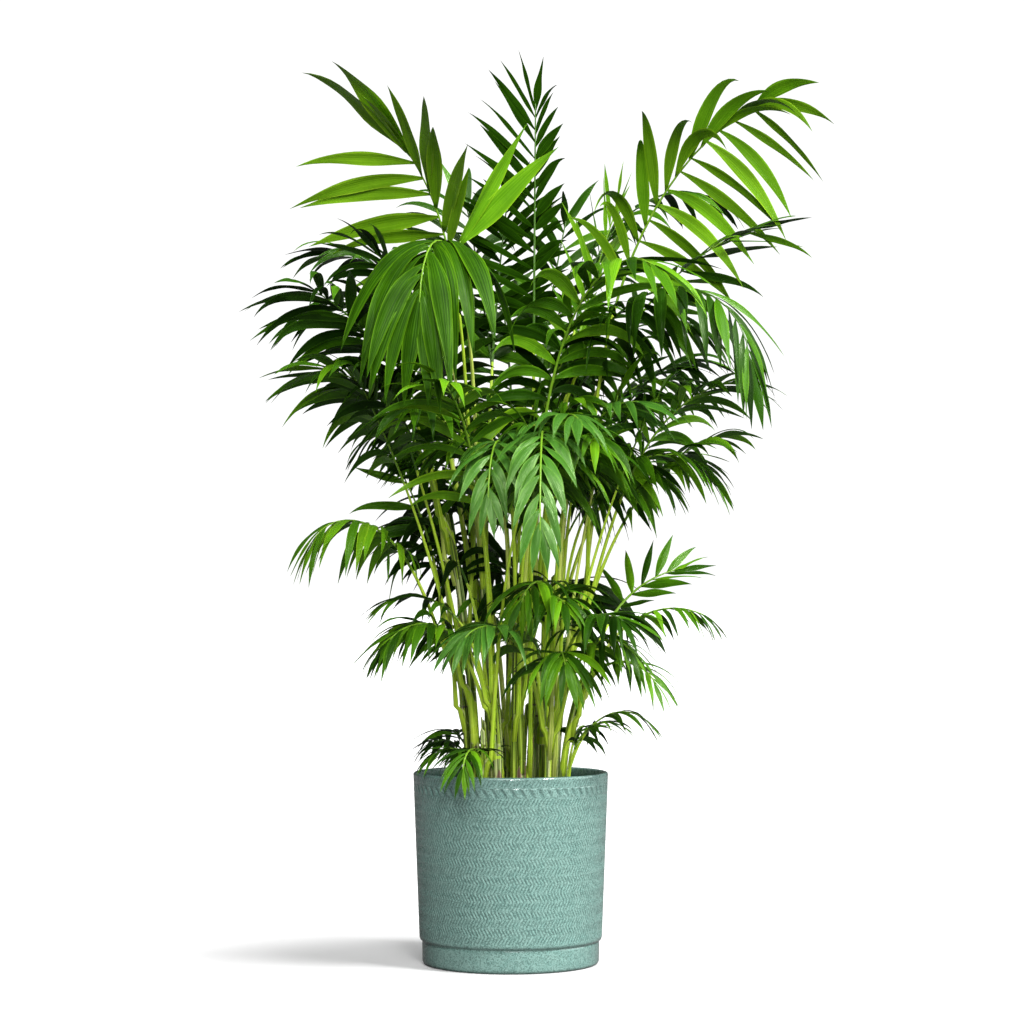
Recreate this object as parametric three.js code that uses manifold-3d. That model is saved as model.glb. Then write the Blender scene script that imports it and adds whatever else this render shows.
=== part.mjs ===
// Parlour palm: a clump of slender canes with arching feather fronds, in a round glazed pot of soil.
// Sizes are in millimetres and angles in degrees. +Z is up, and the origin is the middle of the pot's
// flat underside. A bearing is an angle seen from above: 0 is +X, 90 is +Y, 180 is -X and 270 is -Y.
import * as THREE from 'three';
import { mergeVertices } from 'three/addons/utils/BufferGeometryUtils.js';
import Module from 'manifold-3d';

const wasm = await Module();
wasm.setup();

const gap = 0.3;
const upward = new THREE.Vector3(0, 0, 1);

const pot = {
  height: 254,
  rimRadius: 130,
  bodyRadius: 121.5,
  footRadius: 117.5,
  footHeight: 32,
  footRound: 5,
  footFlare: 0.8,
  step: 3, // up from the foot to the wider body
  wall: 6.5,
  floor: 12,
  fillet: 8, // inside, between wall and floor
  sides: 48,
};
const soil = { level: 215, sides: 32 };

// Canes: foot x, foot y, mean lean, bearing of the lean, height, radius at the foot, radius at the top.
const caneRows = {
  cane_left: [-30, 6, 2, 180, 395, 4.6, 3.1],
  sheath_left: [-46, -20, 6, 185, 385, 6.2, 3.7],
  cane_thick: [44, -22, 2, 0, 190, 7.6, 4.9],
  cane_pale: [14, -40, 2, 200, 215, 6.2, 3.8],
  cane_right: [60, 6, 7, 0, 280, 5.3, 3.3],
  cane_outer: [68, -24, 10, 350, 170, 4.6, 3.1],
  cane_back: [28, 26, 2, 90, 330, 4.8, 3.1],
  cane_back_left: [-28, 44, 4, 125, 300, 4.8, 3.1],
  cane_back_right: [48, 48, 4, 60, 300, 4.8, 3.1],
  cane_front_left: [-16, -64, 4, 235, 150, 5.5, 3.7],
  cane_front_right: [48, -64, 5, 300, 130, 4.8, 3.3],
  cane_far: [10, 74, 5, 95, 262, 4.5, 3.0],
  cane_low_left: [-52, 14, 8, 180, 235, 4.8, 3.3],
};
const cane = { sides: 6, steps: 6, flare: 1.6, flareReach: 9 };

// Fronds: the cane that bears it, height of its foot on the cane, bearing, elevation of the rib where it
// rises, elevation at its tip, how late it bends, length of the rib, bare share of it, longest leaflet,
// pairs of leaflets, how far they sag, how far the blade rolls about its rib, and how far the leaflets
// lift above it where that isn't the usual, and how much wider they open on the left than on the right.
const frondRows = {
  top_left_bright: ['cane_left', 385, 229, 86, 38, 3.0, 500, 0.66, 195, 5, 0.2, 0, -12, -22],
  front_hanging: ['cane_left', 360, 257, 86, -86, 2.4, 600, 0.6, 205, 9, 2.0, 0, 16, -14],
  top_back_dark: ['cane_back', 322, 80, 89, 87, 1.0, 620, 0.52, 125, 12, 0.12, 56, -20, 0],
  top_right_bright: ['cane_right', 272, 322, 89, 17, 2.1, 740, 0.56, 168, 9, 0.5, -46, -4, 26],
  right_back_dark: ['cane_back_right', 292, 22, 89, -25, 3.6, 670, 0.55, 100, 9, 0.7, 0],
  right_mid_back: ['cane_back_right', 265, 328, 89, 16, 1.4, 610, 0.62, 125, 7, 0.15, 0, -10, 8],
  right_arch: ['cane_back', 290, 320, 84, -88, 2.3, 660, 0.54, 140, 11, 1.3, 0],
  centre_right: ['cane_pale', 205, 306, 82, -30, 3.6, 630, 0.5, 150, 10, 0.6, 0],
  spear_right: ['cane_back', 298, 15, 84, 70, 1.3, 505, 0.55, 115, 9, 0.05, -35],
  left_upper_dark: ['cane_back_left', 292, 164, 80, 0, 4.5, 525, 0.55, 130, 9, 0.5, 10],
  left_far_dark: ['cane_back_left', 262, 185, 81, -35, 4.2, 515, 0.55, 125, 9, 0.5, 10],
  left_front: ['sheath_left', 378, 208, 80, 15, 1.2, 255, 0.35, 150, 9, 0.55, 12],
  left_front_two: ['sheath_left', 360, 217, 77, 19, 1.4, 390, 0.5, 140, 9, 0.55, 10],
  left_middle: ['sheath_left', 318, 196, 84, -50, 3.0, 235, 0.6, 66, 7, 0.9, 0],
  left_small: ['cane_back_left', 245, 205, 88, 40, 2.2, 520, 0.55, 130, 9, 0.4, 10],
  left_mid: ['cane_low_left', 195, 168, 86, 62, 1.4, 245, 0.62, 95, 3, 0.1, -75, 4, 12],
  left_arch_low: ['cane_low_left', 190, 190, 68, -55, 3.0, 295, 0.45, 108, 9, 1.3, 0],
  left_low_back: ['cane_low_left', 190, 140, 89, -10, 2.8, 185, 0.6, 90, 6, 0.5, 0],
  left_low_front: ['cane_front_left', 130, 212, 78, -45, 1.5, 205, 0.45, 92, 8, 0.9, 0],
  left_low_small: ['cane_front_left', 148, 165, 79, -20, 1.7, 195, 0.5, 80, 7, 0.6, 0],
  right_low_long: ['cane_right', 245, 6, 70, 22, 2.0, 300, 0.45, 115, 9, 0.6, -10],
  right_arch_dark: ['cane_right', 225, 30, 83, 6, 3.1, 435, 0.5, 120, 9, 0.6, -10],
  right_upper: ['cane_right', 205, 335, 74, 6, 3.0, 430, 0.5, 120, 9, 0.5, -10],
  right_hanging: ['cane_thick', 175, 350, 86, -40, 2.6, 400, 0.5, 110, 9, 0.9, -10],
  right_fan: ['cane_outer', 162, 12, 82, 14, 1.2, 195, 0.5, 85, 7, 0.1, 30],
  right_low_arch: ['cane_outer', 135, 338, 72, -25, 1.5, 225, 0.5, 72, 8, 0.9, 0],
  right_lower: ['cane_outer', 110, 318, 84, -50, 1.1, 175, 0.45, 72, 8, 0.7, 0],
  front_sheen: ['cane_thick', 150, 268, 88, -88, 1.75, 640, 0.46, 92, 12, 0.9, 0],
  front_left_sheen: ['cane_pale', 185, 262, 87, -84, 2.2, 480, 0.52, 88, 9, 0.9, 0],
  front_top_light: ['cane_pale', 160, 298, 84, -20, 2.2, 475, 0.55, 100, 9, 0.7, 0],
  front_right_wide: ['cane_thick', 140, 308, 89, -10, 3.0, 465, 0.55, 115, 7, 0.6, 0],
  front_low_right: ['cane_front_right', 122, 305, 84, -25, 1.4, 215, 0.5, 100, 8, 0.7, 0],
  front_low: ['cane_front_right', 95, 228, 76, -40, 2.0, 230, 0.45, 95, 9, 0.8, 0],
  centre_mid_left: ['cane_pale', 205, 225, 89, -20, 3.6, 325, 0.55, 100, 8, 0.7, 0],
  centre_upper: ['cane_front_left', 144, 256, 84, 10, 1.8, 490, 0.5, 125, 9, 0.5, 0],
  back_high: ['cane_far', 255, 95, 84, 15, 1.8, 560, 0.5, 140, 9, 0.5, 0],
  back_left_high: ['cane_far', 240, 118, 85, 70, 1.2, 600, 0.45, 135, 11, 0.3, 0, -10],
  back_right_high: ['cane_far', 225, 62, 85, 66, 1.3, 595, 0.45, 135, 11, 0.3, 0, -10],
  back_mid: ['cane_back', 275, 105, 76, -30, 1.8, 470, 0.5, 120, 8, 0.6, 0],
  back_mid_left: ['cane_back_left', 230, 112, 74, -20, 1.8, 430, 0.5, 110, 8, 0.6, 0],
  back_mid_right: ['cane_back_right', 215, 45, 72, -20, 1.8, 430, 0.5, 110, 8, 0.6, 0],
};

// Fronds whose two end leaflets are longer than usual: their share of the longest leaflet.
const longTips = { top_left_bright: 1.0 };

// Young palms round the canes: foot x, foot y, height of the stem, its radius, petiole radius, longest
// leaflet, pairs of leaflets, and a row for each frond with its height on the stem, bearing, elevation
// where it rises, elevation at its tip and length.
const youngRows = {
  young_back: [-8, 98, 120, 4.5, 2.6, 92, 7,
    [[116, 100, 70, -30, 235], [104, 145, 64, -25, 225], [88, 45, 64, -25, 235]]],
  seedling_right: [74, -46, 46, 2.4, 1.5, 66, 4,
    [[42, 5, 72, -30, 135], [38, 70, 66, -20, 105], [32, 330, 82, 0, 100]]],
  seedling_left: [-30, -66, 34, 2.4, 1.5, 62, 5,
    [[30, 192, 64, -35, 84], [26, 250, 62, -76, 118], [20, 120, 70, -25, 80]]],
  seedling_back: [-48, 68, 40, 2.4, 1.5, 60, 5,
    [[36, 128, 62, -35, 105], [30, 205, 70, -25, 80], [24, 60, 70, -15, 90]]],
};
const young = { bend: 1.8, bare: 0.4, sag: 0.7, topShare: 0.8, roll: 0, skew: 0 };

const rib = {
  petioleRadius: 3.0, // at the foot of a full frond
  tipRadius: 0.9,
  clear: 0.9, // from the cane to the foot
  steps: 24, // of the course
  rings: 8, // of the solid
  turns: 12, // tries at a bearing that misses the canes and the ribs before it
  turnStep: 4,
  boxMargin: 10,
};
const leaflet = {
  share: 0.6, // of the full number of pairs: fewer and larger than life
  leastPairs: 3,
  grow: 1.15,
  steps: 12,
  lift: 16,
  openAngle: 70, // between leaflet and rib low on the blade
  closeAngle: 34, // the same near its tip
  tipAngle: 16,
  tipPlace: 0.985, // of the rib, for the two leaflets at its tip
  tipShare: 0.7, // of the longest leaflet
  tipSag: 0.8, // of the frond's sag
  lastPlace: 0.97, // of the rib, for the last pair before them
  stray: 14, // of its angle
  lengthStray: 0.16,
  sagStray: 0.9, // of the frond's sag
  shortest: 0.62, // of the longest, at either end of the blade
  pull: 2.2, // of its weight on its course, with the frond's sag
  halfWidth: 0.062, // of its length
  thickness: 0.011, // of its length
  leastThickness: 1.2,
  longFrom: 130, // a leaflet longer than this has a second section
  sections: [[0.42, 1]], // place along it and share of the width
  longSections: [[0.33, 1], [0.67, 0.72]],
  clearance: 0.5,
  tries: [0, 14, -14, 28, -28, 42], // changes of lift where a leaflet would touch something
};

const radians = (angle) => (angle * Math.PI) / 180;
const share = (a, b) => (a * 0.6180339887 + b * 0.7548776662) % 1;
const mix = (from, to, t) => from + (to - from) * t;

function heading(bearing, elevation = 0) {
  const across = Math.cos(radians(elevation));
  const x = across * Math.cos(radians(bearing));
  const y = across * Math.sin(radians(bearing));
  return new THREE.Vector3(x, y, Math.sin(radians(elevation)));
}

// A closed skin over rings of points that all turn the same way. Each end is a point or a flat cap.
function skin(rings, root, tip) {
  const sides = rings[0].length;
  const points = rings.flat();
  const faces = [];
  for (let r = 0; r + 1 < rings.length; r++) {
    for (let i = 0; i < sides; i++) {
      const a = r * sides + i;
      const b = r * sides + ((i + 1) % sides);
      faces.push(a, b, b + sides, a, b + sides, a + sides);
    }
  }
  const last = (rings.length - 1) * sides;
  if (root) points.push(root);
  for (let i = 0; root && i < sides; i++) faces.push((i + 1) % sides, i, points.length - 1);
  for (let i = 1; !root && i + 1 < sides; i++) faces.push(0, i + 1, i);
  if (tip) points.push(tip);
  for (let i = 0; tip && i < sides; i++) faces.push(last + i, last + ((i + 1) % sides), points.length - 1);
  for (let i = 1; !tip && i + 1 < sides; i++) faces.push(last, last + i, last + i + 1);
  const geometry = new THREE.BufferGeometry().setFromPoints(points);
  geometry.setIndex(faces);
  return geometry;
}

function ringAt(centre, direction, radius, sides, start = 0) {
  const turn = new THREE.Quaternion().setFromUnitVectors(upward, direction);
  const ring = [];
  for (let i = 0; i < sides; i++) {
    const angle = start + (2 * Math.PI * i) / sides;
    const point = new THREE.Vector3(radius * Math.cos(angle), radius * Math.sin(angle), 0);
    ring.push(point.applyQuaternion(turn).add(centre));
  }
  return ring;
}

function solidOf(geometry) {
  const bare = geometry.clone();
  bare.deleteAttribute('normal');
  bare.deleteAttribute('uv');
  const merged = mergeVertices(bare, 1e-4);
  return new wasm.Manifold(new wasm.Mesh({
    numProp: 3,
    vertProperties: new Float32Array(merged.attributes.position.array),
    triVerts: new Uint32Array(merged.index.array),
  }));
}

function geometryOf(solid) {
  const mesh = solid.getMesh();
  const geometry = new THREE.BufferGeometry();
  geometry.setAttribute('position', new THREE.BufferAttribute(mesh.vertProperties, 3));
  geometry.setIndex(new THREE.BufferAttribute(mesh.triVerts, 1));
  return geometry;
}

// Pot and soil

function potGeometry() {
  const innerFoot = pot.footRadius - pot.wall;
  const lip = pot.wall / 2;
  const profile = [new THREE.Vector2(0, 0), new THREE.Vector2(pot.footRadius - pot.footRound, 0)];
  for (const angle of [30, 60, 90]) {
    const x = pot.footRadius - pot.footRound * (1 - Math.sin(radians(angle)));
    const y = pot.footRound * (1 - Math.cos(radians(angle)));
    profile.push(new THREE.Vector2(x, y));
  }
  profile.push(new THREE.Vector2(pot.footRadius + pot.footFlare, pot.footHeight - pot.step));
  profile.push(new THREE.Vector2(pot.bodyRadius, pot.footHeight));
  for (let angle = 0; angle <= 180; angle += 45) {
    const x = pot.rimRadius - lip + lip * Math.cos(radians(angle));
    const y = pot.height - lip + lip * Math.sin(radians(angle));
    profile.push(new THREE.Vector2(x, y));
  }
  profile.push(new THREE.Vector2(innerFoot, pot.floor + pot.fillet));
  profile.push(new THREE.Vector2(innerFoot - pot.fillet, pot.floor));
  profile.push(new THREE.Vector2(0, pot.floor));
  return turned(profile, pot.sides);
}

// A lathe about +Z. Its profile runs from the axis underneath, out, up and back to the axis.
function turned(profile, sides) {
  const geometry = new THREE.LatheGeometry(profile, sides);
  geometry.rotateX(Math.PI / 2);
  return geometryOf(solidOf(geometry));
}

function potInnerRadius(z) {
  const low = pot.floor + pot.fillet;
  const up = (z - low) / (pot.height - pot.wall / 2 - low);
  return mix(pot.footRadius - pot.wall, pot.rimRadius - pot.wall, up);
}

function soilGeometry() {
  const low = pot.floor + pot.fillet;
  const bottom = pot.floor + gap;
  const edge = potInnerRadius(low) - 2 * gap;
  const top = potInnerRadius(soil.level) - 2 * gap;
  const profile = [
    new THREE.Vector2(0, bottom),
    new THREE.Vector2(edge - pot.fillet, bottom),
    new THREE.Vector2(edge, low),
    new THREE.Vector2(top, soil.level),
    new THREE.Vector2(0, soil.level),
  ];
  return turned(profile, soil.sides);
}

// Canes

function caneAt(row, up) {
  const [x, y, lean, bearing, height, footRadius, topRadius] = row;
  const curl = radians(2 * lean) / height;
  const out = (1 - Math.cos(curl * up)) / curl;
  const point = heading(bearing).multiplyScalar(out);
  point.add(new THREE.Vector3(x, y, soil.level + gap + Math.sin(curl * up) / curl));
  const radius = mix(footRadius, topRadius, up / height) + cane.flare * Math.exp(-up / cane.flareReach);
  return { point, radius, direction: heading(bearing, 90 - (curl * up * 180) / Math.PI) };
}

function caneCourse(row) {
  const height = row[4];
  const heights = [0, cane.flareReach];
  for (let i = 1; i <= cane.steps; i++) heights.push(mix(cane.flareReach, height, i / cane.steps));
  return heights.map((up) => caneAt(row, up));
}

function caneGeometry(row) {
  const rings = caneCourse(row).map((at, i) =>
    ringAt(at.point, i ? at.direction : upward, at.radius, cane.sides));
  return skin(rings);
}

// Ribs

function frondFrom(row) {
  const [bearer, up, bearing, rise, fall, bend, length, bare, leaf, pairs, sag, roll, ...rest] = row;
  const start = { ...caneAt(caneRows[bearer], up), petiole: rib.petioleRadius, clear: rib.clear };
  const [lift = leaflet.lift, skew = 0] = rest;
  return { start, bearing, rise, fall, bend, length, bare, leaf, pairs, sag, roll, lift, skew };
}

function ribRadius(frond, s) {
  return mix(frond.start.petiole, rib.tipRadius, s);
}

// The course of a rib: its foot, a step out and up, then an arc that bends down from rise to fall.
function ribCourse(frond) {
  const out = heading(frond.bearing);
  const { point, radius, petiole, clear } = frond.start;
  const foot = point.clone().addScaledVector(out, radius + petiole + clear);
  const heel = 2 * petiole;
  const points = [foot.clone().addScaledVector(out, heel).addScaledVector(upward, heel)];
  const directions = [];
  for (let i = 0; i < rib.steps; i++) {
    const s = (i + 0.5) / rib.steps;
    const direction = heading(frond.bearing, mix(frond.rise, frond.fall, s ** frond.bend));
    directions.push(direction);
    points.push(points[i].clone().addScaledVector(direction, frond.length / rib.steps));
  }
  directions.push(directions[rib.steps - 1]);
  return { foot, points, directions };
}

function along(list, s) {
  const place = Math.min(s, 1) * (list.length - 1);
  const i = Math.min(Math.floor(place), list.length - 2);
  return list[i].clone().lerp(list[i + 1], place - i);
}

// Shortest gap between two tapered rods, each given by its two ends and the radius at each end.
function gapBetween(a, b) {
  const d1 = a.end.clone().sub(a.start);
  const d2 = b.end.clone().sub(b.start);
  const r = a.start.clone().sub(b.start);
  const aa = d1.dot(d1);
  const bb = d2.dot(d2);
  const ab = d1.dot(d2);
  const ar = d1.dot(r);
  const br = d2.dot(r);
  const spread = aa * bb - ab * ab;
  let s = spread > 1e-9 ? THREE.MathUtils.clamp((ab * br - ar * bb) / spread, 0, 1) : 0;
  let t = (ab * s + br) / bb;
  if (t < 0 || t > 1) {
    t = THREE.MathUtils.clamp(t, 0, 1);
    s = THREE.MathUtils.clamp((ab * t - ar) / aa, 0, 1);
  }
  const between = r.addScaledVector(d1, s).addScaledVector(d2, -t).length();
  return between - mix(a.startRadius, a.endRadius, s) - mix(b.startRadius, b.endRadius, t);
}

function rodsOf(points, radii) {
  const rods = [];
  for (let i = 0; i + 1 < points.length; i++) {
    const box = new THREE.Box3().setFromPoints([points[i], points[i + 1]]).expandByScalar(rib.boxMargin);
    rods.push({ start: points[i], end: points[i + 1], startRadius: radii[i], endRadius: radii[i + 1], box });
  }
  return rods;
}

function misses(rods, placed) {
  return rods.every((a) => placed.every((b) => !a.box.intersectsBox(b.box) || gapBetween(a, b) > gap));
}

// Turns a frond to the first bearing near its own where its rib misses everything placed before it.
function settle(frond, placed) {
  const bearing = frond.bearing;
  for (let k = 0; k <= rib.turns; k++) {
    frond.bearing = bearing + (k % 2 ? 1 : -1) * Math.ceil(k / 2) * rib.turnStep;
    frond.course = ribCourse(frond);
    const radii = frond.course.points.map((_, i) => ribRadius(frond, i / rib.steps));
    const rods = rodsOf([frond.course.foot, ...frond.course.points], [radii[0], ...radii]);
    if (misses(rods, placed)) {
      placed.push(...rods);
      return frond;
    }
  }
  throw new Error('no free bearing for the frond at ' + bearing);
}

function ribGeometry(frond) {
  const { foot, points } = frond.course;
  frond.knots = [];
  for (let i = 0; i <= rib.rings; i++) frond.knots.push(along(points, i / rib.rings));
  const rings = frond.knots.map((knot, i) => threeSided(bladeFrame(frond, i / rib.rings), knot,
    ribRadius(frond, i / rib.rings)));
  rings.unshift(threeSided(bladeFrame(frond, 0), foot, ribRadius(frond, 0)));
  return skin(rings);
}

// A rib's section: one corner on the upper side, so that each leaflet stands out of a flat.
function threeSided(frame, centre, radius) {
  return [90, 210, 330].map((angle) => centre.clone()
    .addScaledVector(frame.left, radius * Math.cos(radians(angle)))
    .addScaledVector(frame.face, radius * Math.sin(radians(angle))));
}

// Leaflets

// The blade's own frame at a place along the rib: forward, to the left, and out of the upper side.
function bladeFrame(frond, s) {
  const forward = along(frond.course.directions, s).normalize();
  const left = heading(frond.bearing + 90);
  const face = forward.clone().cross(left);
  left.applyAxisAngle(forward, radians(frond.roll));
  face.applyAxisAngle(forward, radians(frond.roll));
  return { origin: along(frond.knots, s), forward, left, face };
}

function leafletGeometry(frame, leaf) {
  const side = frame.left.clone().multiplyScalar(leaf.side * Math.cos(radians(leaf.lift)));
  side.addScaledVector(frame.face, Math.sin(radians(leaf.lift)));
  const start = frame.forward.clone().multiplyScalar(Math.cos(radians(leaf.angle)));
  start.addScaledVector(side, Math.sin(radians(leaf.angle)));
  const spots = [{ point: frame.origin, direction: start }];
  for (let i = 0; i < leaflet.steps; i++) {
    const t = (i + 0.5) / leaflet.steps;
    const direction = start.clone().addScaledVector(upward, -leaflet.pull * leaf.sag * t).normalize();
    const point = spots[i].point.clone().addScaledVector(direction, leaf.length / leaflet.steps);
    spots.push({ point, direction });
  }
  const thickness = Math.max(leaflet.leastThickness, leaflet.thickness * leaf.length);
  const width = 2 * leaflet.halfWidth * leaf.length;
  const sections = leaf.length > leaflet.longFrom ? leaflet.longSections : leaflet.sections;
  const rings = sections.map(([t, broad]) => {
    const { point, direction } = spots[Math.round(t * leaflet.steps)];
    const edge = frame.face.clone().cross(direction).normalize();
    const up = direction.clone().cross(edge).multiplyScalar(leaf.fat);
    const half = (width / 2) * broad + leaf.fat;
    return [
      point.clone().add(up).addScaledVector(edge, half),
      point.clone().add(up).addScaledVector(edge, -half),
      point.clone().addScaledVector(direction.clone().cross(edge), -thickness - leaf.fat),
    ];
  });
  return skin(rings, spots[0].point, spots[leaflet.steps].point);
}

function leafletsOf(frond, number) {
  const pairs = Math.max(leaflet.leastPairs, Math.round(frond.pairs * leaflet.share));
  const leaves = [];
  for (let k = 0; k < pairs; k++) {
    for (const side of [-1, 1]) {
      const u = (k + 0.35 + (side > 0 ? 0.25 : 0)) / pairs;
      const stray = share(number * 7 + k, side * 3 + 5) - 0.5;
      const swell = mix(leaflet.shortest, 1, Math.sin(Math.PI * mix(0.15, 0.9, u)));
      leaves.push({
        s: mix(frond.bare, 1, u * leaflet.lastPlace),
        side,
        angle: mix(leaflet.openAngle, leaflet.closeAngle, u) + stray * leaflet.stray + side * frond.skew,
        length: frond.leaf * leaflet.grow * swell * (1 + leaflet.lengthStray * stray),
      });
    }
  }
  for (const side of [-1, 1]) {
    const length = frond.leaf * (frond.tip ?? leaflet.tipShare);
    leaves.push({ s: leaflet.tipPlace, side, angle: leaflet.tipAngle, length });
  }
  leaves.forEach((leaf, k) => {
    const stray = leaflet.sagStray * (share(number * 11 + k, k % 2) - 0.5);
    leaf.sag = frond.sag * (k < leaves.length - 2 ? 1 + stray : leaflet.tipSag);
  });
  return leaves;
}

function touches(solid, others) {
  const box = solid.boundingBox();
  return others.some((other) =>
    box.min.every((low, i) => low < other.box.max[i]) &&
    box.max.every((high, i) => high > other.box.min[i]) &&
    solid.intersect(other.solid).volume() > 0);
}

// Grows the leaflets of one frond on its rib, leaving out each that can't miss the others.
function grow(frond, number, others) {
  let blade = frond.rib;
  for (const leaf of leafletsOf(frond, number)) {
    const frame = bladeFrame(frond, leaf.s);
    for (const change of leaflet.tries) {
      leaf.lift = frond.lift + change;
      const fat = solidOf(leafletGeometry(frame, { ...leaf, fat: leaflet.clearance }));
      if (touches(fat, others)) continue;
      blade = blade.add(solidOf(leafletGeometry(frame, { ...leaf, fat: 0 })));
      break;
    }
  }
  return blade;
}

// Assembly

const glaze = new THREE.MeshStandardMaterial({ color: 0x7ca29a, roughness: 0.25 });
const earth = new THREE.MeshStandardMaterial({ color: 0x2b2018, roughness: 1 });
const stemGreen = new THREE.MeshStandardMaterial({ color: 0x7d9a45, roughness: 0.5 });
const leafGreen = new THREE.MeshStandardMaterial({ color: 0x2f5f12, roughness: 0.45 });

const palm = new THREE.Group();
palm.name = 'parlour_palm';

function addNode(name, geometry, material) {
  const mesh = new THREE.Mesh(geometry, material);
  mesh.name = name;
  palm.add(mesh);
}

function known(name, solid) {
  return { name, solid, box: solid.boundingBox() };
}

addNode('pot', potGeometry(), glaze);
addNode('soil', soilGeometry(), earth);

const still = palm.children.map((mesh) => known(mesh.name, solidOf(mesh.geometry)));
const placedRods = [];
for (const [name, row] of Object.entries(caneRows)) {
  const geometry = caneGeometry(row);
  const course = caneCourse(row);
  addNode(name, geometry, stemGreen);
  still.push(known(name, solidOf(geometry)));
  placedRods.push(...rodsOf(course.map((at) => at.point), course.map((at) => at.radius)));
}

// A plant is one node: a frond alone, or the fronds of a seedling on their short stem.
const plants = Object.entries(frondRows).map(([name, row]) => ({
  name,
  fronds: [{ ...frondFrom(row), tip: longTips[name] }],
}));
for (const plant of plants) plant.fronds.forEach((frond) => settle(frond, placedRods));

for (const [name, row] of Object.entries(youngRows)) {
  const [x, y, height, radius, petiole, leaf, pairs, rows] = row;
  const stem = [x, y, 1, rows[0][1], height, radius, radius * young.topShare];
  const fronds = rows.map(([up, bearing, rise, fall, length]) => {
    const at = caneAt(stem, up);
    const start = { ...at, petiole, clear: -at.radius - petiole };
    return { ...young, start, bearing, rise, fall, length, leaf, pairs, lift: leaflet.lift };
  });
  for (const frond of fronds) frond.course = ribCourse(frond);
  plants.push({ name, fronds, stem: solidOf(caneGeometry(stem)) });
}

for (const plant of plants) {
  for (const frond of plant.fronds) frond.rib = solidOf(ribGeometry(frond));
  plant.solid = plant.fronds.map((frond) => frond.rib).reduce((all, one) => all.add(one));
  if (plant.stem) plant.solid = plant.solid.add(plant.stem);
}

plants.forEach((plant, number) => {
  const others = [...still, ...plants.filter((other) => other !== plant).map((p) => known(p.name, p.solid))];
  plant.fronds.forEach((frond, i) => {
    plant.solid = plant.solid.add(grow(frond, number + 17 * i, others));
  });
  addNode(plant.name, geometryOf(plant.solid), leafGreen);
});

export default palm;
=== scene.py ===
# Parlour palm in a glazed pot. The canes, ribs and leaflets grow by the part's own rule, carried to finer ones.
# The plant's rows are in millimetres and degrees. A bearing is an angle seen from above: 0 is +X and 90 is +Y.
from math import acos, atan2, ceil, cos, degrees, exp, hypot, pi, radians, sin, sqrt

import bpy
import numpy as np
from mathutils.bvhtree import BVHTree
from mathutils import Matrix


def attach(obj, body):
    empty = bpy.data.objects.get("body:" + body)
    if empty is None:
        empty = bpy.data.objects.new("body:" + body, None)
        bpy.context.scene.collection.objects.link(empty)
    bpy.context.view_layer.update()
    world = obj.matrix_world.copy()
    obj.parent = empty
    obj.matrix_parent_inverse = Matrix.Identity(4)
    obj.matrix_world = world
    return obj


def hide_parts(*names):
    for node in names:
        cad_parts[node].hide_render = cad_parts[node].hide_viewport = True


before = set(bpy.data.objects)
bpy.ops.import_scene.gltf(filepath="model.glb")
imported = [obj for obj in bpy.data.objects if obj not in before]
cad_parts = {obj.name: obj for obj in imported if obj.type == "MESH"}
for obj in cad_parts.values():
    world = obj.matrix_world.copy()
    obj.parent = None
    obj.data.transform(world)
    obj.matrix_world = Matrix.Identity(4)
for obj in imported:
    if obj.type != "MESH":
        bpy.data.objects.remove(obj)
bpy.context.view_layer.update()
print("frame loaded:", len(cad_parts), "nodes")

mm = 0.001
up = np.array([0.0, 0.0, 1.0])
white = (1, 1, 1, 1)


def unit(vectors):
    return vectors / np.linalg.norm(vectors, axis=-1, keepdims=True)


def mix(low, high, t):
    return low + (high - low) * t


# A number from 0 to 1 that spreads evenly as a or b counts up. It stands in for chance all over the plant.
def share(a, b):
    return (a * 0.6180339887 + b * 0.7548776662) % 1


def heading(bearing, elevation=0.0):
    turn, climb = radians(bearing), radians(elevation)
    return np.array([cos(climb) * cos(turn), cos(climb) * sin(turn), sin(climb)])


def anglesRound(count):
    return np.arange(count) * 2 * pi / count


def ringOf(centre, wide, angles, first, second):
    return centre + np.outer(wide * np.cos(angles), first) + np.outer(wide * np.sin(angles), second)


def putObject(name, data):
    thing = bpy.data.objects.new(name, data)
    bpy.context.scene.collection.objects.link(thing)
    return thing


# Sets a node's inputs, and links those whose value is another node's output.
def feed(node, inputs):
    for name, value in inputs.items():
        if isinstance(value, bpy.types.NodeSocket):
            node.id_data.links.new(value, node.inputs[name])
        else:
            isColour = node.inputs[name].type == "RGBA" and len(value) == 3
            node.inputs[name].default_value = (*value, 1) if isColour else value
    return node


def addNode(tree, kind, inputs=None, **settings):
    node = tree.nodes.new("ShaderNode" + kind)
    for name, value in settings.items():
        setattr(node, name, value)
    return feed(node, inputs or {})


def mathNode(tree, kind, *values, clamp=False):
    return addNode(tree, "Math", dict(enumerate(values)), operation=kind, use_clamp=clamp).outputs[0]


def noiseNode(tree, place, scale, detail):
    return addNode(tree, "TexNoise", {"Vector": place, "Scale": scale, "Detail": detail}).outputs["Fac"]


def mixColour(tree, factor, first, second, strength=1.0):
    inputs = {0: mathNode(tree, "MULTIPLY", factor, strength), 6: first, 7: second}
    return addNode(tree, "Mix", inputs, data_type="RGBA").outputs[2]


def rangeNode(tree, value, ends, starts=(0, 1), **settings):
    inputs = {"Value": value, "From Min": starts[0], "From Max": starts[1], "To Min": ends[0], "To Max": ends[1]}
    return addNode(tree, "MapRange", inputs, **settings).outputs["Result"]


def bumpNode(tree, height, distance, strength):
    return addNode(tree, "Bump", {"Height": height, "Distance": distance, "Strength": strength}).outputs["Normal"]


def newMaterial(name):
    material = bpy.data.materials.new(name)
    material.use_nodes = True
    return material, material.node_tree, material.node_tree.nodes["Principled BSDF"]


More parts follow.
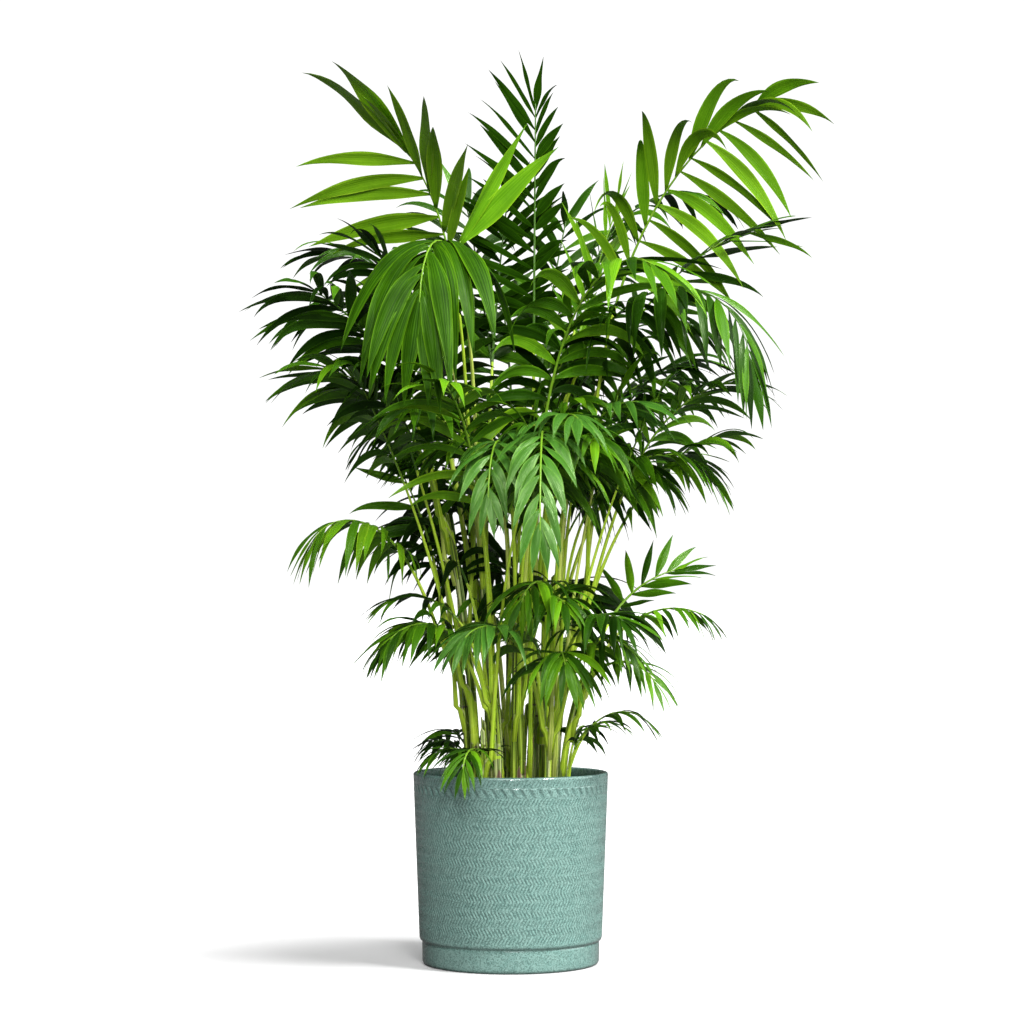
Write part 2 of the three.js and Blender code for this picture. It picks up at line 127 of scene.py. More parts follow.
def newGroup(name, inputs, outputs):
    group = bpy.data.node_groups.new(name, "ShaderNodeTree")
    for label, value in inputs.items():
        group.interface.new_socket(label, in_out="INPUT", socket_type="NodeSocketFloat").default_value = value
    for label in outputs:
        group.interface.new_socket(label, in_out="OUTPUT", socket_type="NodeSocketFloat")
    return group, group.nodes.new("NodeGroupInput").outputs, group.nodes.new("NodeGroupOutput")


def placeGroup(tree, group, values):
    return addNode(tree, "Group", values, node_tree=group).outputs


# Soft patches and fine specks, both from 0 to 1, in object space.
def makeMottleGroup():
    group, start, end = newGroup("mottle", {"Patch Size": 30.0, "Speck Size": 400.0}, ["Patches", "Specks"])
    place = addNode(group, "TexCoord").outputs["Object"]
    patches = noiseNode(group, place, start["Patch Size"], 4.0)
    specks = noiseNode(group, place, start["Speck Size"], 2.0)
    feed(end, {
        "Patches": mathNode(group, "MULTIPLY_ADD", patches, 2.2, -0.6, clamp=True),
        "Specks": mathNode(group, "MULTIPLY_ADD", specks, 7.0, -3.2, clamp=True),
    })
    return group


# Fine even lines and uneven streaks along a blade or a stalk, from the map "grain": x runs across and y along.
def makeVeinGroup():
    inputs = {"Lines": 9.0, "Sharpness": 3.0, "Fineness": 12.0}
    group, start, end = newGroup("veins", inputs, ["Veins", "Streaks", "PaintedEdgeLight"])
    grain = addNode(group, "UVMap", uv_map="grain").outputs["UV"]
    x, y, _ = addNode(group, "SeparateXYZ", {0: grain}).outputs
    turns = mathNode(group, "MULTIPLY", mathNode(group, "MULTIPLY", x, start["Lines"]), pi)
    wave = mathNode(group, "ABSOLUTE", mathNode(group, "SINE", turns))
    fine = mathNode(group, "MULTIPLY", x, start["Fineness"])
    stretched = addNode(group, "CombineXYZ", {0: fine, 1: mathNode(group, "MULTIPLY", y, 0.35)}).outputs[0]
    streaks = noiseNode(group, stretched, 1.0, 3.0)
    middle = mathNode(group, "SUBTRACT", mathNode(group, "MULTIPLY", x, 2.0), 1.0)
    feed(end, {
        "Veins": mathNode(group, "POWER", mathNode(group, "SUBTRACT", 1.0, wave), start["Sharpness"]),
        "Streaks": mathNode(group, "MULTIPLY_ADD", streaks, 4.4, -1.75, clamp=True),
        # a mask of the blade's edges, where the colour goes lighter as a painted highlight
        "PaintedEdgeLight": mathNode(group, "POWER", mathNode(group, "ABSOLUTE", middle), 9.0),
    })
    return group


mottle = makeMottleGroup()
veins = makeVeinGroup()

camera = {"lens": 95, "sensor": 36, "distance": 3.618, "aside": 0.0017, "height": 0.4896, "tilt": 1.76, "reach": 500}
studio = {
    "floorSize": 240,
    "floorColour": (0.51, 0.51, 0.51), "floorBounce": (0.11, 0.11, 0.11),  # as seen, and as it lights the plant
    # light that only the camera sees on the floor, so that the shadow fades out: near the pot, away from it, and
    # the ring between the two, round a place beside the pot
    "floorLift": (0.06, 0.62), "liftRing": (0.17, 0.46), "liftPlace": (-0.1, -0.02, 0.0),
    "worldLight": 0.06, "worldSeen": 1.1,  # as it lights the plant, and as the camera sees it
    # the bearing each sun shines from, its height, its width, its strength, and whether it shows as a highlight
    "suns": {
        "key": [326, 48, 14, 4.6, True],
        "side": [4, 35, 56, 1.4, True],
        "rim": [104, 38, 40, 1.6, False],
        "fill": [284, 15, 24, 2.05, False],
    },
    # where each soft box stands, its size and its power
    "boxes": {"box": [(-0.45, -1.7, 2.35), 1.0, 28], "smallBox": [(0.25, -2.3, 1.75), 0.42, 30]},
    "boxAim": (0, 0, 0.55),
}


def addCamera():
    made = bpy.data.cameras.new("camera")
    made.lens, made.sensor_width, made.clip_end = camera["lens"], camera["sensor"], camera["reach"]
    holder = putObject("camera", made)
    holder.location = (camera["aside"], -camera["distance"], camera["height"])
    holder.rotation_euler = (radians(90 + camera["tilt"]), 0, 0)
    bpy.context.scene.camera = holder


def addLights():
    for name, (bearing, height, width, strength, glossy) in studio["suns"].items():
        made = bpy.data.lights.new(name, "SUN")
        made.energy, made.angle = strength, radians(width)
        holder = putObject(name, made)
        holder.rotation_euler = (radians(90 - height), 0, radians(bearing + 90))
        holder.visible_glossy = glossy
    for name, (place, size, power) in studio["boxes"].items():
        made = bpy.data.lights.new(name, "AREA")
        made.energy, made.size = power, size
        holder = putObject(name, made)
        x, y, z = np.array(studio["boxAim"]) - place
        holder.location = place
        holder.rotation_euler = (acos(-z / hypot(x, y, z)), 0, atan2(y, x) - pi / 2)
        holder.visible_camera = False


def addFloor():
    half = studio["floorSize"] / 2
    mesh = bpy.data.meshes.new("floor")
    mesh.from_pydata([(-half, -half, 0), (half, -half, 0), (half, half, 0), (-half, half, 0)], [], [(0, 1, 2, 3)])
    material, tree, shader = newMaterial("studioFloor")
    mesh.materials.append(material)
    seen = addNode(tree, "LightPath").outputs["Is Camera Ray"]
    ends = {0: addNode(tree, "TexCoord").outputs["Object"], 1: studio["liftPlace"]}
    away = addNode(tree, "VectorMath", ends, operation="DISTANCE").outputs["Value"]
    lift = rangeNode(tree, away, studio["floorLift"], studio["liftRing"], interpolation_type="SMOOTHSTEP")
    feed(shader, {
        "Base Color": mixColour(tree, seen, studio["floorBounce"], studio["floorColour"]),
        "Roughness": 0.9, "Specular IOR Level": 0.1,
        "Emission Color": white, "Emission Strength": mathNode(tree, "MULTIPLY", seen, lift),
    })
    putObject("floor", mesh)


def setWorld():
    world = bpy.data.worlds.new("studio")
    world.use_nodes = True
    tree = world.node_tree
    lit = feed(tree.nodes["Background"], {"Color": white, "Strength": studio["worldLight"]}).outputs[0]
    seen = addNode(tree, "Background", {"Color": white, "Strength": studio["worldSeen"]}).outputs[0]
    ray = addNode(tree, "LightPath").outputs["Is Camera Ray"]
    feed(tree.nodes["World Output"], {"Surface": addNode(tree, "MixShader", {0: ray, 1: lit, 2: seen}).outputs[0]})
    bpy.context.scene.world = world
    bpy.context.scene.view_settings.view_transform = "Standard"
    bpy.context.scene.view_settings.look = "None"


# The blade, its veins, its patches, the painted highlight on its edges, how strongly it shines and how rough it is.
# The first five run from the deepest old blades to the newest, and fronds of one of the last four have that one all
# over.
leafTints = {
    "leafDeep": [(0.0045, 0.019, 0.0008), (0.011, 0.04, 0.002), (0.003, 0.013, 0.001),
                 (0.026, 0.082, 0.004), 0.1, (0.22, 0.36)],
    "leafDark": [(0.013, 0.052, 0.0016), (0.03, 0.105, 0.004), (0.008, 0.034, 0.0012),
                 (0.062, 0.175, 0.006), 0.2, (0.2, 0.34)],
    "leafMid": [(0.036, 0.125, 0.0025), (0.1, 0.275, 0.009), (0.022, 0.088, 0.002),
                (0.15, 0.35, 0.01), 0.27, (0.2, 0.34)],
    "leafFresh": [(0.08, 0.228, 0.0038), (0.185, 0.41, 0.014), (0.054, 0.176, 0.003),
                  (0.25, 0.48, 0.014), 0.26, (0.2, 0.34)],
    "leafBright": [(0.076, 0.195, 0.0034), (0.19, 0.39, 0.013), (0.054, 0.158, 0.003),
                   (0.33, 0.56, 0.02), 0.24, (0.2, 0.34)],
    # shines more, and its bluish blade is partly painted sheen
    "leafGlossyPaintedSheen": [(0.033, 0.123, 0.011), (0.08, 0.22, 0.024), (0.018, 0.074, 0.006),
                   (0.14, 0.33, 0.03), 0.56, (0.2, 0.34)],
    # a young frond's bright green, made brighter still as painted light where the frond is turned from the lamps
    "leafNewestPaintedLight": [(0.115, 0.285, 0.005), (0.25, 0.48, 0.018), (0.08, 0.22, 0.004),
                   (0.38, 0.62, 0.03), 0.22, (0.22, 0.36)],
    "leafHanging": [(0.0085, 0.037, 0.0006), (0.056, 0.175, 0.003), (0.004, 0.02, 0.0005),
                    (0.09, 0.23, 0.004), 0.1, (0.3, 0.46)],
    "leafShade": [(0.0042, 0.018, 0.0005), (0.018, 0.06, 0.002), (0.0022, 0.0095, 0.0003),
                  (0.024, 0.074, 0.002), 0.0, (0.42, 0.6)],
}
newestUsual = 4  # the last of the first five
# the skin of a cane or stalk, its pale streaks, which are its own stripes made brighter as a painted highlight, and
# how strongly painted shade runs along it in dark grooves
stalkTints = {
    "petioleLime": [(0.36, 0.64, 0.016), (0.72, 0.9, 0.09), 0.25],
    "petiolePale": [(0.48, 0.66, 0.06), (0.84, 0.9, 0.26), 0.25],
    "ribGreen": [(0.12, 0.29, 0.01), (0.25, 0.45, 0.03), 0.2],
    "ribDark": [(0.03, 0.1, 0.004), (0.075, 0.185, 0.012), 0.2],
    "caneGreen": [(0.026, 0.1, 0.003), (0.56, 0.76, 0.08), 0.9],
    "caneLight": [(0.11, 0.3, 0.008), (0.92, 0.96, 0.44), 0.85],
    "caneScar": [(0.06, 0.052, 0.02), (0.16, 0.14, 0.06), 0.5],
    "sheathPale": [(0.38, 0.54, 0.06), (0.9, 0.92, 0.46), 0.8],
    "sheathDry": [(0.19, 0.1, 0.06), (0.6, 0.42, 0.3), 0.8],
}
blade = {
    "lines": {"Lines": 7.0, "Sharpness": 2.6, "Fineness": 14.0}, "patches": {"Patch Size": 26.0, "Speck Size": 900.0},
    "streakShare": 0.45, "veinShare": 0.55, "patchShare": 0.6, "edgeLightShare": 0.85,
    "relief": 0.0004, "reliefShare": 0.8, "gloss": (0.82, 1.0, 0.56, 1),
}
skin = {
    "lines": {"Lines": 2.5, "Sharpness": 0.8, "Fineness": 9.0}, "patches": {"Patch Size": 40.0, "Speck Size": 700.0},
    "streakShare": 0.95, "grooveShade": 0.06, "rough": (0.22, 0.4), "shine": 0.5,
    "relief": 0.0004, "reliefShare": 0.6,
}


def makeLeafMaterial(name, base, vein, patch, rim, shine, rough):
    material, tree, shader = newMaterial(name)
    lines = placeGroup(tree, veins, blade["lines"])
    patches = placeGroup(tree, mottle, blade["patches"])["Patches"]
    drawn = mathNode(tree, "MULTIPLY", lines["Veins"], blade["veinShare"])
    grain = mathNode(tree, "MULTIPLY_ADD", lines["Streaks"], blade["streakShare"], drawn)
    colour = mixColour(tree, grain, base, vein)
    colour = mixColour(tree, patches, colour, patch, blade["patchShare"])
    feed(shader, {
        # the edges go to the rim colour: a painted highlight
        "Base Color": mixColour(tree, lines["PaintedEdgeLight"], colour, rim, blade["edgeLightShare"]),
        "Roughness": rangeNode(tree, patches, rough),
        "Normal": bumpNode(tree, grain, blade["relief"], blade["reliefShare"]),
        "Specular IOR Level": shine, "Specular Tint": blade["gloss"],
    })
    return material


def makeStalkMaterial(name, base, streak, grooveShadeShare):
    material, tree, shader = newMaterial(name)
    lines = placeGroup(tree, veins, skin["lines"])
    patches = placeGroup(tree, mottle, skin["patches"])["Patches"]
    # pale streaks: the stalk's own stripes, partly painted highlight
    colour = mixColour(tree, lines["Streaks"], base, streak, skin["streakShare"])
    # painted shade: the grooves along the stalk go nearly black
    dark = tuple(skin["grooveShade"] * part for part in base)
    feed(shader, {
        "Base Color": mixColour(tree, lines["Veins"], colour, dark, grooveShadeShare),
        "Roughness": rangeNode(tree, patches, skin["rough"]),
        "Normal": bumpNode(tree, lines["Streaks"], skin["relief"], skin["reliefShare"]),
        "Specular IOR Level": skin["shine"],
    })
    return material


leafMaterials = [makeLeafMaterial(name, *tint) for name, tint in leafTints.items()]
stalkMaterials = [makeStalkMaterial(name, *tint) for name, tint in stalkTints.items()]
stalkNames = list(stalkTints)


def newPiece():
    return {"points": [], "faces": [], "tints": [], "grain": [], "rims": [], "count": 0}


# Adds one closed part to a piece. grain holds a place on the map for each point, and rims the points on sharp edges.
def addPart(piece, points, faces, tints, grain=None, rims=None):
    base = piece["count"]
    piece["points"].append(points)
    piece["faces"].extend([[base + i for i in face] for face in faces])
    piece["tints"].extend(tints if isinstance(tints, list) else [tints] * len(faces))
    piece["grain"].append(np.zeros((len(points), 2)) if grain is None else grain)
    piece["rims"].append(np.zeros(len(points), bool) if rims is None else rims)
    piece["count"] += len(points)


def finishPiece(name, piece, materials, nodes, smooth=True):
    mesh = bpy.data.meshes.new(name)
    mesh.from_pydata((np.concatenate(piece["points"]) * mm).tolist(), [], piece["faces"])
    for material in materials:
        mesh.materials.append(material)
    mesh.polygons.foreach_set("material_index", np.array(piece["tints"], np.int32))
    mesh.polygons.foreach_set("use_smooth", np.full(len(mesh.polygons), smooth))
    corners = np.zeros(len(mesh.loops), np.int32)
    mesh.loops.foreach_get("vertex_index", corners)
    grain = np.concatenate(piece["grain"])[corners]
    mesh.uv_layers.new(name="grain").uv.foreach_set("vector", grain.astype(np.float32).ravel())
    ends = np.zeros(2 * len(mesh.edges), np.int32)
    mesh.edges.foreach_get("vertices", ends)
    sharp = np.concatenate(piece["rims"])[ends].reshape(-1, 2).all(1)
    mesh.attributes.new("sharp_edge", "BOOLEAN", "EDGE").data.foreach_set("value", sharp)
    mesh.validate()
    thing = putObject(name, mesh)
    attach(thing, "root")
    if nodes:
        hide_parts(*nodes)
    return thing


# Faces of a closed tube of rings. Its foot is a flat cap, and its end another one, or a point where tip is set.
def tubeFaces(rings, sides, tip=False):
    faces = []
    for r in range(rings - 1):
        for i in range(sides):
            a, b = r * sides + i, r * sides + (i + 1) % sides
            faces.append((a, b, b + sides, a + sides))
    last = (rings - 1) * sides
    faces.append(tuple(range(sides - 1, -1, -1)))
    if tip:
        faces.extend((last + i, last + (i + 1) % sides, last + sides) for i in range(sides))
    else:
        faces.append(tuple(range(last, last + sides)))
    return faces


soilLevel = 215
gap = 0.3  # between ribs and canes, and below the canes
grainLength = 40  # of stalk or blade to one unit of the map
# foot x, foot y, mean lean, bearing of the lean, height, radius at the foot, radius at the top
caneRows = {
    "cane_left": [-30, 6, 2, 180, 395, 4.6, 3.1],
    "sheath_left": [-46, -20, 6, 185, 385, 6.2, 3.7],
    "cane_thick": [44, -22, 2, 0, 190, 7.6, 4.9],
    "cane_pale": [14, -40, 2, 200, 215, 6.2, 3.8],
    "cane_right": [60, 6, 7, 0, 280, 5.3, 3.3],
    "cane_outer": [68, -24, 10, 350, 170, 4.6, 3.1],
    "cane_back": [28, 26, 2, 90, 330, 4.8, 3.1],
    "cane_back_left": [-28, 44, 4, 125, 300, 4.8, 3.1],
    "cane_back_right": [48, 48, 4, 60, 300, 4.8, 3.1],
    "cane_front_left": [-16, -64, 4, 235, 150, 5.5, 3.7],
    "cane_front_right": [48, -64, 5, 300, 130, 4.8, 3.3],
    "cane_far": [10, 74, 5, 95, 262, 4.5, 3.0],
    "cane_low_left": [-52, 14, 8, 180, 235, 4.8, 3.3],
}
cane = {
    "flare": 1.6, "flareReach": 9, "steps": 6, "sides": 16, "ringStep": 2.5, "sink": 6,
    "internode": 46,  # between two leaf scars
    "scarRise": 0.4, "scarWidth": 1.6, "scarShade": 1.2,
    "ridge": 0.45, "lightEvery": 3,
}
# old sheaths round the foot of a cane: how many, the length of each, and how far it stands off
sheath = {
    "count": 3, "thinCount": 2, "length": 62, "step": 34, "stand": 0.6, "slope": 20, "rings": 14,
    "kinds": ["sheathPale", "caneLight", "sheathDry", "caneGreen"],
}
# the sleeve below each frond's foot
wrap = {
    "length": 78, "above": 9, "slope": 26, "stand": 0.7, "bulge": 4.5, "mouth": 12, "rings": 12,
    "kinds": ["caneLight", "petioleLime", "caneGreen"],
}
edgeTint = stalkNames.index("sheathPale")  # of the thin end of a sheath or sleeve


def caneAt(row, rise):
    x, y, lean, bearing, height, footRadius, topRadius = row
    curl = radians(2 * lean) / height
    out = (1 - cos(curl * rise)) / curl
    point = heading(bearing) * out + np.array([x, y, soilLevel + gap + sin(curl * rise) / curl])
    radius = mix(footRadius, topRadius, rise / height) + cane["flare"] * exp(-rise / cane["flareReach"])
    return point, radius, heading(bearing, 90 - degrees(curl * rise))


# A ring square to the cane, with three low ridges so that it isn't a plain round.
def caneRing(row, rise, radius):
    point, _, direction = caneAt(row, rise)
    across = heading(row[3] + 90)
    angles = anglesRound(cane["sides"])
    wide = radius * (1 + cane["ridge"] * np.cos(3 * angles + rise * 0.02) / max(radius, 1))
    return ringOf(point, wide, angles, np.cross(across, direction), across)


def addTube(piece, rings, tints, heights, tip):
    sides = len(rings[0])
    faces = tubeFaces(len(rings), sides, tip=True)
    faceTints = [tints[min(i // sides, len(tints) - 1)] for i in range(len(faces))]
    x = np.tile(np.abs(np.linspace(-1, 1, sides, endpoint=False)), len(rings))
    y = np.repeat(np.array(heights) / grainLength, sides)
    grain = np.vstack([np.stack([x, y], 1), [[0.5, heights[-1] / grainLength]]])
    addPart(piece, np.vstack([*rings, [tip]]), faces, faceTints, grain)


# Rings of a sleeve round a cane. slip is how far it is pulled down and stand how far it stands off, each by the
# angle round the cane and by t, from 0 at its foot to 1 at its mouth.
def sleeveRings(row, low, length, count, slip, stand):
    across = heading(row[3] + 90)
    angles = anglesRound(cane["sides"])
    rings, heights = [], []
    for t in np.arange(count + 1) / count:
        ring = []
        for angle, down, off in zip(angles, slip(angles, t), stand(angles, t)):
            point, radius, direction = caneAt(row, low + length * t - down)
            side = cos(angle) * np.cross(across, direction) + sin(angle) * across
            ring.append(point + (radius + off) * side)
        rings.append(np.array(ring))
        heights.append(low + length * t)
    return rings, heights


# Closes a sleeve by a smaller ring inside its mouth and a point deeper in.
def closeSleeve(piece, rings, heights, tint, centre, narrower, tip):
    rings.append(centre + (rings[-1] - rings[-1].mean(0)) * narrower)
    heights.append(heights[-1])
    addTube(piece, rings, [tint] * (len(rings) - 3) + [edgeTint] * 3, heights, tip)


# A sheath wraps the cane and ends in a slanting edge on one side.
def addSheath(piece, row, low, length, stand, turn, tint):
    def slip(angles, t):
        return sheath["slope"] * (0.5 + 0.5 * np.cos(angles - turn)) * t * t

    def standOff(angles, t):
        return stand * (1 - 0.55 * t) * (1 if t else 0.4) + 0.25 * np.cos(3 * angles + turn)

    rings, heights = sleeveRings(row, low, length, sheath["rings"], slip, standOff)
    point, _, direction = caneAt(row, low + length - sheath["slope"])
    closeSleeve(piece, rings, heights, tint, point, 0.8, point - direction * 4)


# The living sheath that holds a frond's foot to its cane: a sleeve that widens towards the petiole.
def addWrap(piece, frond, row, tint):
    low = max(1.0, frond["foot"] - wrap["length"])
    toward = np.clip(np.cos(anglesRound(cane["sides"]) - radians(frond["bearing"] - row[3])), 0, 1)

    def slip(angles, t):
        return wrap["slope"] * (1 - toward) * t ** 3

    def standOff(angles, t):
        return wrap["stand"] * min(1, 0.3 + 5 * t) + wrap["bulge"] * toward ** 5 * t ** 3

    rings, heights = sleeveRings(row, low, frond["foot"] + wrap["above"] - low, wrap["rings"], slip, standOff)
    middle = rings[-1].mean(0)
    closeSleeve(piece, rings, heights, tint, middle, 0.86, middle - up * wrap["mouth"])


def makeCane(piece, row, number, sheaths):
    height = row[4]
    heights = np.arange(-cane["sink"], height + 0.1, cane["ringStep"])
    scars = [cane["internode"] * (k + 0.35 + 0.5 * share(number, k)) for k in range(int(height / cane["internode"]))]
    bark = stalkNames.index("caneGreen" if number % cane["lightEvery"] else "caneLight")
    rings, tints = [], []
    for rise in heights:
        near = min([abs(rise - scar) for scar in scars], default=height)
        radius = caneAt(row, max(rise, 0))[1] + cane["scarRise"] * exp(-((near / cane["scarWidth"]) ** 2))
        rings.append(caneRing(row, rise, radius))
        tints.append(stalkNames.index("caneScar") if near < cane["scarShade"] else bark)
    top, _, direction = caneAt(row, height)
    addTube(piece, rings, tints, heights, top + direction * 3)
    for k in range(sheaths):
        low = 2 + sheath["step"] * (k + 0.4 * share(number, k + 2))
        length = sheath["length"] * (0.75 + 0.6 * share(number + k, 3 + k))
        kind = sheath["kinds"][int(len(sheath["kinds"]) * share(number * 3 + k, 5 * k))]
        stand = sheath["stand"] * (1 - 0.25 * k)
        addSheath(piece, row, low, length, stand, 6.3 * share(number, k * 3), stalkNames.index(kind))


frondParts = ("bearer", "foot", "bearing", "rise", "fall", "bend", "length", "bare", "leaf", "pairs", "sag", "roll",
              "lift", "skew")
# the petiole's radius and its gap to the cane, then as in the rows
usualFrond = {"petiole": 3.0, "clear": 0.9, "roll": 0, "lift": 16, "skew": 0}
# bearer, height of the foot on it, bearing, elevation where the rib rises, elevation at its tip, how late it bends,
# length, bare share, longest leaflet, pairs, sag, then roll, lift and skew where they aren't the usual
frondRows = {
    "top_left_bright": ["cane_left", 385, 229, 86, 38, 3.0, 500, 0.66, 195, 5, 0.2, 0, -12, -22],
    "front_hanging": ["cane_left", 360, 257, 86, -86, 2.4, 600, 0.6, 205, 9, 2.0, 0, 16, -14],
    "top_back_dark": ["cane_back", 322, 80, 89, 87, 1.0, 620, 0.52, 125, 12, 0.12, 56, -20, 0],
    "top_right_bright": ["cane_right", 272, 322, 89, 17, 2.1, 740, 0.56, 168, 9, 0.5, -46, -4, 26],
    "right_back_dark": ["cane_back_right", 292, 22, 89, -25, 3.6, 670, 0.55, 100, 9, 0.7],
    "right_mid_back": ["cane_back_right", 265, 328, 89, 16, 1.4, 610, 0.62, 125, 7, 0.15, 0, -10, 8],
    "right_arch": ["cane_back", 290, 320, 84, -88, 2.3, 660, 0.54, 140, 11, 1.3],
    "centre_right": ["cane_pale", 205, 306, 82, -30, 3.6, 630, 0.5, 150, 10, 0.6],
    "spear_right": ["cane_back", 298, 15, 84, 70, 1.3, 505, 0.55, 115, 9, 0.05, -35],
    "left_upper_dark": ["cane_back_left", 292, 164, 80, 0, 4.5, 525, 0.55, 130, 9, 0.5, 10],
    "left_far_dark": ["cane_back_left", 262, 185, 81, -35, 4.2, 515, 0.55, 125, 9, 0.5, 10],
    "left_front": ["sheath_left", 378, 208, 80, 15, 1.2, 255, 0.35, 150, 9, 0.55, 12],
    "left_front_two": ["sheath_left", 360, 217, 77, 19, 1.4, 390, 0.5, 140, 9, 0.55, 10],
    "left_middle": ["sheath_left", 318, 196, 84, -50, 3.0, 235, 0.6, 66, 7, 0.9],
    "left_small": ["cane_back_left", 245, 205, 88, 40, 2.2, 520, 0.55, 130, 9, 0.4, 10],
    "left_mid": ["cane_low_left", 195, 168, 86, 62, 1.4, 245, 0.62, 95, 3, 0.1, -75, 4, 12],
    "left_arch_low": ["cane_low_left", 190, 190, 68, -55, 3.0, 295, 0.45, 108, 9, 1.3],
    "left_low_back": ["cane_low_left", 190, 140, 89, -10, 2.8, 185, 0.6, 90, 6, 0.5],
    "left_low_front": ["cane_front_left", 130, 212, 78, -45, 1.5, 205, 0.45, 92, 8, 0.9],
    "left_low_small": ["cane_front_left", 148, 165, 79, -20, 1.7, 195, 0.5, 80, 7, 0.6],
    "right_low_long": ["cane_right", 245, 6, 70, 22, 2.0, 300, 0.45, 115, 9, 0.6, -10],
    "right_arch_dark": ["cane_right", 225, 30, 83, 6, 3.1, 435, 0.5, 120, 9, 0.6, -10],
    "right_upper": ["cane_right", 205, 335, 74, 6, 3.0, 430, 0.5, 120, 9, 0.5, -10],
    "right_hanging": ["cane_thick", 175, 350, 86, -40, 2.6, 400, 0.5, 110, 9, 0.9, -10],
    "right_fan": ["cane_outer", 162, 12, 82, 14, 1.2, 195, 0.5, 85, 7, 0.1, 30],
    "right_low_arch": ["cane_outer", 135, 338, 72, -25, 1.5, 225, 0.5, 72, 8, 0.9],
    "right_lower": ["cane_outer", 110, 318, 84, -50, 1.1, 175, 0.45, 72, 8, 0.7],
    "front_sheen": ["cane_thick", 150, 268, 88, -88, 1.75, 640, 0.46, 92, 12, 0.9],
    "front_left_sheen": ["cane_pale", 185, 262, 87, -84, 2.2, 480, 0.52, 88, 9, 0.9],
    "front_top_light": ["cane_pale", 160, 298, 84, -20, 2.2, 475, 0.55, 100, 9, 0.7],
    "front_right_wide": ["cane_thick", 140, 308, 89, -10, 3.0, 465, 0.55, 115, 7, 0.6],
    "front_low_right": ["cane_front_right", 122, 305, 84, -25, 1.4, 215, 0.5, 100, 8, 0.7],
    "front_low": ["cane_front_right", 95, 228, 76, -40, 2.0, 230, 0.45, 95, 9, 0.8],
    "centre_mid_left": ["cane_pale", 205, 225, 89, -20, 3.6, 325, 0.55, 100, 8, 0.7],
    "centre_upper": ["cane_front_left", 144, 256, 84, 10, 1.8, 490, 0.5, 125, 9, 0.5],
    "back_high": ["cane_far", 255, 95, 84, 15, 1.8, 560, 0.5, 140, 9, 0.5],
    "back_left_high": ["cane_far", 240, 118, 85, 70, 1.2, 600, 0.45, 135, 11, 0.3, 0, -10],
    "back_right_high": ["cane_far", 225, 62, 85, 66, 1.3, 595, 0.45, 135, 11, 0.3, 0, -10],
    "back_mid": ["cane_back", 275, 105, 76, -30, 1.8, 470, 0.5, 120, 8, 0.6],
    "back_mid_left": ["cane_back_left", 230, 112, 74, -20, 1.8, 430, 0.5, 110, 8, 0.6],
    "back_mid_right": ["cane_back_right", 215, 45, 72, -20, 1.8, 430, 0.5, 110, 8, 0.6],
}
# more fronds of the same clump, in the same terms
moreRows = {
    "top_left_spear": ["cane_left", 372, 350, 104, 46, 6.0, 385, 0.93, 190, 0, 0.05, 70, 10],
    "top_back_spear": ["cane_back_left", 285, 70, 88, 70, 1.5, 545, 0.6, 118, 9, 0.1, 0, -20, 6],
    "right_inner_high": ["cane_back", 240, 345, 86, -30, 3.2, 520, 0.52, 130, 10, 1.1],
    "right_inner_low": ["cane_back_right", 240, 5, 86, -20, 3.0, 420, 0.5, 120, 9, 0.8],
    "centre_inner": ["cane_back", 250, 290, 87, 20, 2.4, 430, 0.45, 125, 9, 0.6],
    "left_stalk_one": ["sheath_left", 150, 212, 76, 60, 1.2, 420, 0.72, 110, 6, 0.6],
    "left_stalk_two": ["sheath_left", 200, 228, 74, 60, 1.2, 370, 0.72, 100, 6, 0.6],
    "right_stalk_one": ["cane_front_right", 124, 338, 80, 62, 1.4, 430, 0.74, 100, 6, 0.6],
    "right_stalk_two": ["cane_front_right", 116, 0, 84, 70, 1.4, 470, 0.76, 100, 6, 0.5],
}
# foot x, foot y, height of the stem, its radius, petiole radius, longest leaflet, pairs, then a row for each frond
youngRows = {
    "young_back": [-8, 98, 120, 4.5, 2.6, 92, 7,
                   [[116, 100, 70, -30, 235], [104, 145, 64, -25, 225], [88, 45, 64, -25, 235]]],
    "seedling_right": [74, -46, 46, 2.4, 1.5, 66, 4,
                       [[42, 5, 72, -30, 135], [38, 70, 66, -20, 105], [32, 330, 82, 0, 100]]],
    "seedling_left": [-30, -66, 34, 2.4, 1.5, 62, 5,
                      [[30, 192, 64, -35, 84], [26, 250, 62, -76, 118], [20, 120, 70, -25, 80]]],
    "seedling_back": [-48, 68, 40, 2.4, 1.5, 60, 5,
                      [[36, 128, 62, -35, 105], [30, 205, 70, -25, 80], [24, 60, 70, -15, 90]]],
}
youngFrond = {**usualFrond, "bend": 1.8, "bare": 0.4, "sag": 0.7}
youngTaper = 0.8  # of a stem, from foot to top
